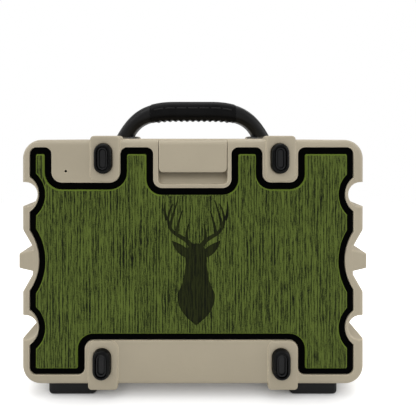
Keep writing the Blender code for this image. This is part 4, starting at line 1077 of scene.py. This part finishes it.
def make_grille():
    slots = [(x, row, length) for row in range(-5, 6) for x, length in slot_spans(row)]
    outlines = [oval(POCKET[0] - GAP, POCKET[1] - GAP)]
    outlines += [pill(x, MIDDLE + row * SLOT_PITCH_Z, length, SLOT_H, 8) for x, row, length in slots]
    outlines.append(circle(0, MIDDLE, 20))
    face = plate("grille_plate", outlines, (GRILLE_Y[0] + 0.5, GRILLE_Y[1]), 0.4, steps=2)
    rims = []
    for x, row, length in slots:
        z = MIDDLE + row * SLOT_PITCH_Z
        outer = pill(x, z, length + 2 * SLOT_RIM, SLOT_H + 2 * SLOT_RIM, 8)
        inner = pill(x, z, length, SLOT_H, 8)
        rims.append(plate("slot_rim", [outer, inner], (GRILLE_Y[0], GRILLE_Y[1] - 1.0), 0.45, steps=3))
    place(face, tan_plastic, "case", "tan_shell", "grille")
    place(merge("slot_rims", rims), ring_plastic, "case", "tan_shell", "grille")


def make_tweeter_cover():
    """Domed round cover with rings of sound holes."""
    outlines = [circle(0, MIDDLE, DOME_R, 72)]
    for ring in reversed(range(COVER_RINGS + 1)):
        radius = COVER_RING_PITCH * ring + 0.5 if ring else 0.0
        for angle in turns(5 * ring + 1):
            x, z = radius * math.cos(angle), MIDDLE + radius * math.sin(angle)
            outlines.append(circle(x, z, COVER_HOLE_R, 10))
    flat = (COVER_Y[1] - COVER_THICK, COVER_Y[1])
    cover = plate("tweeter_dome_cover", outlines, flat, 0.25, steps=1)
    rise = flat[0] - COVER_Y[0]
    for vert in cover.data.vertices:
        away = math.hypot(vert.co.x / MM, vert.co.z / MM - MIDDLE) / DOME_R
        vert.co.y -= rise * max(0.0, 1 - away**2) * MM
    place(cover, ring_plastic, "case", "tan_shell", "tweeter_cover", angle=50)


def make_bezel():
    """Oval bezel: a thin outer bead, a broad crown and a fine step round its opening."""
    back_y, front_y = BEZEL_Y[1], BEZEL_Y[0]
    section = []
    for share, rise in BEZEL_PROFILE:
        width, height = (a + (b - a) * share for a, b in zip(BEZEL_OUT, BEZEL_IN))
        section.append((width, height, back_y + (front_y - back_y) * rise))
    ring = oval_sweep("bezel_ring", section)
    join(ring, *bezel_pads((front_y + 0.9, back_y), 0.0, 0.8))
    place(ring, ring_plastic, "case", "tan_shell", "grille_bezel")


def make_cone():
    """Pressed cone that is steeper towards its neck."""
    front, steps = [], 16
    for step in range(steps + 1):
        share = (step / steps) ** 0.85
        width, height = (a + (CONE_NECK - a) * share for a in CONE_OVAL)
        front.append((width, height, CONE_Y[0] + (CONE_Y[1] - CONE_Y[0]) * step / steps))
    back = [(width, height, y + CONE_THICK) for width, height, y in reversed(front)]
    place(oval_sweep("pressed_cone", front + back), cone_paper, "woofer_cone", "cone_paper", "woofer_cone")


def make_dust_cap():
    """Domed cap over the neck of the cone, a slice of a flattened ball."""
    outside, inside, steps = [], [], 12
    for step in range(steps + 1):
        angle = CAP_ANGLE * step / steps
        radius, rise = CAP_R * math.sin(angle), CAP_RISE * (math.cos(angle) - CAP_RIM) / (1 - CAP_RIM)
        outside.append((radius, rise - 0.2))
        inside.append((radius, rise - 0.2 - CAP_THICK))
    cap = turned("domed_dust_cap", outside + inside[::-1], (0, CAP_Y, MIDDLE))
    place(cap, cone_paper, "woofer_cone", "cone_paper", "dust_cap")


def make_surround():
    """Half-round rubber roll from the basket to the cone."""
    over, under, steps = [], [], 16
    for step in range(steps + 1):
        angle = math.pi * step / steps
        across = ROLL_MIDDLE - ROLL_HALF * math.cos(angle)
        y = ROLL_Y - ROLL_RISE * math.sin(angle)
        over.append((across, across - ROLL_OVAL, y))
        under.append((across, across - ROLL_OVAL, y + ROLL_THICK))
    lip = [(*ROLL_LIP, ROLL_Y), (*ROLL_LIP, ROLL_Y + 0.6)]
    roll = oval_sweep("rubber_surround", over + lip + under[::-1])
    roll.data.materials.append(black_rubber)
    shade(roll)
    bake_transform(roll)
    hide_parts("woofer_surround")


# ------------ handle and feet


def arch_plate(name, inset, depth, edge=0.0, drop=0.0):
    sizes = LEG_OUT - inset, LEG_IN + inset, ARCH_OUT - inset, ARCH_IN + inset
    outline = arch_outline(*sizes, LEG_Z, drop=drop)
    return plate(name, [outline], (HANDLE_Y - depth / 2, HANDLE_Y + depth / 2), edge, steps=5)


def grip_dashes():
    """Low bars along the upper edge of the grip, on both of its faces."""
    outline = arch_outline(LEG_OUT, LEG_IN, ARCH_OUT, ARCH_IN, LEG_Z, 200)
    upper = outline[: len(outline) // 2]
    dashes = []
    for number in range(DASHES):
        start = (number - DASHES / 2) * DASH_PITCH
        path = []
        for step in range(6):
            x = start + DASH_PITCH * (0.1 + 0.8 * step / 5)
            path.append((x, min(upper, key=lambda point: abs(point[0] - x))[1] - DASH_DROP))
        for side in (-1, 1):
            y = HANDLE_Y + side * (HANDLE_DEPTH / 2 + GRIP_SWELL)
            dash = stroke(path, [DASH_WIDTH] * len(path))
            dashes.append(plate("grip_dash", [dash], (y - 0.45, y + 0.45), 0.3))
    return dashes


def make_handle():
    high, reach = LEG_Z + 60, (HANDLE_Y - 40, HANDLE_Y + 40)
    core = arch_plate("handle_frame", 0.0, HANDLE_DEPTH, HANDLE_EDGE, LEG_DROP)
    cut(core, box("below", (-FAR, FAR), reach, (LEG_Z - 40, LEG_Z)))
    waist = box("grip_space", (-GRIP_HALF, GRIP_HALF), reach, (LEG_Z - 20, high))
    cut(waist, arch_plate("inner_bar", BAR_INSET, BAR_DEPTH))
    cut(core, waist)
    place(core, handle_plastic, "case", "black_plastic", "handle_core")

    edge = GRIP_HALF - GAP
    grip = arch_plate("grip_sleeve", -GRIP_SWELL, HANDLE_DEPTH + 2 * GRIP_SWELL, GRIP_EDGE)
    combine(grip, "INTERSECT", box("grip_span", (-edge, edge), reach, (LEG_Z - 20, high), 1.5, "Y"))
    cut(grip, arch_plate("bar_clearance", BAR_INSET - GAP, BAR_DEPTH + 2 * GAP))
    under = arch_outline(LEG_OUT, LEG_IN + GRIP_SWELL, ARCH_OUT, ARCH_IN - GRIP_SWELL, LEG_Z, 200)
    under = under[len(under) // 2 :]
    ridges = []
    for step in range(RIDGES):
        x = (step - (RIDGES - 1) / 2) * RIDGE_PITCH
        z = min(under, key=lambda point: abs(abs(point[0]) - abs(x)))[1] + RIDGE_R - RIDGE_OUT
        ends = (x, HANDLE_Y - RIDGE_HALF, z), (x, HANDLE_Y + RIDGE_HALF, z)
        ridges.append(rod("grip_ridge", RIDGE_R, *ends, 20))
    join(grip, *ridges)
    place(grip, grip_rubber, "case", "black_rubber", "handle_grip")
    # Raised dashes in the paler rubber: their paleness is a painted highlight.
    place(merge("grip_dashes", grip_dashes()), bumper_core, "case", "black_rubber")


def make_feet():
    for name in ("front_left", "front_right", "rear_left", "rear_right"):
        node = f"foot_{name}"
        xs, ys, zs = (span(node, axis) for axis in "XYZ")
        foot = box(f"rubber_{node}", xs, ys, zs, FOOT_CORNER_R, "Z", 8)
        round_rim(foot, zs[0], FOOT_EDGE_R, "Z", 6)
        tread = []
        for step in range(TREADS):
            x = xs[0] + (xs[1] - xs[0]) * (step + 1) / (TREADS + 1)
            deep = (zs[0] - 5, zs[0] + TREAD_HALF)
            tread.append(box("tread", (x - TREAD_HALF, x + TREAD_HALF), (ys[0] - 5, ys[1] + 5), deep))
        cut(foot, *tread)
        place(foot, black_rubber, "case", "black_rubber", node)


# ------------ keys


def control_outline(grow=0.0):
    return node_outline("control_plate", 6, grow)


def key_outline(key, grow=0.0):
    return node_outline(key, 3, grow)


def bar(x, y, width, depth):
    corners = ((-1, -1), (1, -1), (1, 1), (-1, 1))
    return [(x + across * width / 2, y + up * depth / 2) for across, up in corners]


def ring_arc(x, y, radius, width, first, last, steps=20):
    """A band round part of a circle, between two angles in degrees."""
    outline = []
    for reach, ends in ((radius + width / 2, (first, last)), (radius - width / 2, (last, first))):
        for step in range(steps + 1):
            angle = math.radians(ends[0] + (ends[1] - ends[0]) * step / steps)
            outline.append((x + reach * math.cos(angle), y + reach * math.sin(angle)))
    return outline


def key_symbols(key, x, y):
    """Outlines of the plain symbol on a key, which do not overlap."""
    if key == "power_key":
        return [ring_arc(x, y - 0.2, 2.2, 0.7, 125, 415), bar(x, y + 1.6, 0.7, 2.6)]
    if key == "volume_down_key":
        return [bar(x, y, 5.0, 0.9)]
    if key == "volume_up_key":
        cross = [(0.45, 0.45), (2.5, 0.45), (2.5, -0.45)]
        for _ in range(3):
            cross += [(b, -a) for a, b in cross[-3:]]
        return [[(x + a, y + b) for a, b in cross]]
    if key == "play_key":
        arrow = [(x - 2.8, y - 2.0), (x + 0.4, y), (x - 2.8, y + 2.0)]
        return [arrow, bar(x + 1.5, y, 0.8, 3.8), bar(x + 3.0, y, 0.8, 3.8)]
    links = [ring_arc(x - 1.9, y, 1.5, 0.7, 40, 320), ring_arc(x + 1.9, y, 1.5, 0.7, -140, 140)]
    return links + [bar(x, y, 2.2, 0.7)]


def make_keys():
    holes = [key_outline(key, 0.4) for key in KEYS]
    panel = plate("control_panel", [control_outline()] + holes, span("control_plate", "Z"), 0.35, "Z")
    place(panel, black_plastic, "case", "black_plastic", "control_plate")
    for key in KEYS:
        cap = plate(f"{key}_cap", [key_outline(key)], (span(key, "Z")[0], KEY_TOP), 1.0, "Z", 4)
        place(cap, black_rubber, key, "black_rubber", key)
        x = middle(key, "X")
        for number, outline in enumerate(key_symbols(key, x, KEY_Y), 1):
            mark = plate(f"{key}_mark_{number}", [outline], (KEY_TOP - 0.2, KEY_TOP + 0.08), axis="Z")
            place(mark, print_paint, key, "black_rubber")


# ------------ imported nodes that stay


def finish_packed_nodes():
    screws = tuple(f"woofer_screw_{number}" for number in range(1, 5))
    bright = ("woofer_top_plate", "woofer_yoke", "handle_bolt_left", "handle_bolt_right")
    looks = (
        (black_rubber, ("housing_gasket", "tweeter_housing", "port_door_seal", "speaker_cable")),
        (black_plastic, ("woofer_basket", "port_plate", "charge_socket")),
        (steel, bright + ("port_hinge_pin", "usb_socket") + screws),
        (dull_steel, ("handle_plate_left", "handle_plate_right")),
        (aluminium, ("voice_coil", "battery_bracket", "microphone")),
        (circuit_board, ("control_board", "amp_board")),
        (foam_black, ("woofer_gasket",)),
        (spider_cloth, ("woofer_spider",)),
        (ferrite, ("woofer_magnet",)),
        (dark_dome, ("tweeter_dome",)),
        (battery_wrap, ("battery_pack",)),
    )
    for material, names in looks:
        for name in names:
            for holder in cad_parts[name].material_slots:
                holder.link = "OBJECT"
                holder.material = material


# ------------ stage


def add_area(name, at, size, power):
    """A soft rectangular lamp that looks at the middle of the case."""
    lamp = bpy.data.lights.new(name, "AREA")
    lamp.shape = "RECTANGLE"
    lamp.size, lamp.size_y = size
    lamp.energy = power
    item = add_object(name, lamp)
    item.location = at
    towards = Vector((0.0, 0.0, MIDDLE * MM)) - Vector(at)
    item.rotation_euler = towards.to_track_quat("-Z", "Y").to_euler()


def make_floor():
    """Pale matt floor that glows white for the camera and runs into the bright background. Near the object the
    glow fades with ambient occlusion, a painted contact shadow over the real soft shadows.
    """
    look = Look("pale_floor")
    clouds = look.noise(3.0, 3.0)
    base = look.mix(look.spread(clouds), (0.8, 0.8, 0.8, 1), (0.84, 0.84, 0.84, 1))
    look.finish(base, 0.85, specular=0.05)
    away = look.add("VectorMath", Vector=look.place)
    away.operation = "LENGTH"
    seen = look.add("LightPath").outputs["Is Camera Ray"]
    # The glow fades where ambient occlusion is high: a painted contact shadow under and beside the case.
    open_share = look.add("AmbientOcclusion", Distance=0.026).outputs["AO"]
    glow_outside_painted_shadow = look.maths("POWER", open_share, 1.2)
    lift = look.maths("MULTIPLY", glow_outside_painted_shadow, look.spread(seen, 0.0, 0.72, 0.0, 1.0))
    look.set(look.shader, Emission_Color=(1.0, 1.0, 1.0, 1.0), Emission_Strength=lift)
    glow = look.add("Emission", Strength=look.spread(seen, 0.5, 1.0, 0.0, 1.0))
    join_far = look.add("MixShader", Fac=look.spread(away.outputs["Value"], 0.0, 1.0, 0.35, 1.1))
    output = look.tree.nodes["Material Output"]
    look.tree.links.new(look.shader.outputs["BSDF"], join_far.inputs[1])
    look.tree.links.new(glow.outputs["Emission"], join_far.inputs[2])
    look.tree.links.new(join_far.outputs["Shader"], output.inputs["Surface"])
    bm = bmesh.new()
    bmesh.ops.create_circle(bm, cap_ends=True, segments=96, radius=9.0)
    floor = finish_bmesh("floor", bm)
    floor.data.materials.append(look.material)


def make_stage():
    make_floor()
    world = bpy.data.worlds.new("studio")
    world.use_nodes = True
    tree = world.node_tree
    background = tree.nodes["Background"].inputs
    shown = tree.nodes.new("ShaderNodeMapRange")
    shown.inputs["To Min"].default_value = 0.5  # dimmer as a light than as the background seen
    tree.links.new(tree.nodes.new("ShaderNodeLightPath").outputs["Is Camera Ray"], shown.inputs["Value"])
    tree.links.new(shown.outputs["Result"], background["Strength"])
    background["Color"].default_value = (1.0, 1.0, 1.0, 1.0)
    scene = bpy.context.scene
    scene.world = world
    scene.view_settings.view_transform = "Standard"
    lamps = (
        ("key", (0.9, 1.3, 1.5), (1.0, 1.0), 6.5),
        ("fill", (-1.2, 1.0, 0.8), (1.2, 1.2), 3),
        ("front_key", (-0.9, -1.3, 1.5), (1.0, 1.0), 6.5),
        ("front_fill", (1.2, -1.0, 0.8), (1.2, 1.2), 3),
        ("overhead", (0.0, 0.0, 1.7), (1.4, 1.4), 9),
        ("left_strip", (1.3, 0.15, 0.35), (0.5, 1.2), 4),
        ("right_strip", (-1.3, 0.15, 0.35), (0.5, 1.2), 4),
    )
    for lamp in lamps:
        add_area(*lamp)


def make_camera():
    """Close view of the mat side, level with the top of the case and with a shifted lens."""
    distance, plane_width = 300.0, 357.3  # millimetres from the mat side, and seen there from edge to edge
    camera = bpy.data.cameras.new("photo_view")
    item = add_object("photo_view", camera)
    camera.sensor_width = 36.0
    camera.lens = camera.sensor_width * distance / plane_width
    camera.shift_x, camera.shift_y = 0.0363, -0.1668
    camera.clip_start, camera.clip_end = 0.01, 50.0
    item.location = (0.0, (BACK_Y + distance) * MM, (TOP + 1.0) * MM)
    item.rotation_euler = (math.pi / 2, 0.0, math.pi)
    bpy.context.scene.camera = item


make_case()
make_sound_felt()
make_mat()
make_bumpers()
make_door()
make_grille()
make_tweeter_cover()
make_bezel()
make_cone()
make_dust_cap()
make_surround()
make_handle()
make_feet()
make_keys()
finish_packed_nodes()
make_stage()
make_camera()
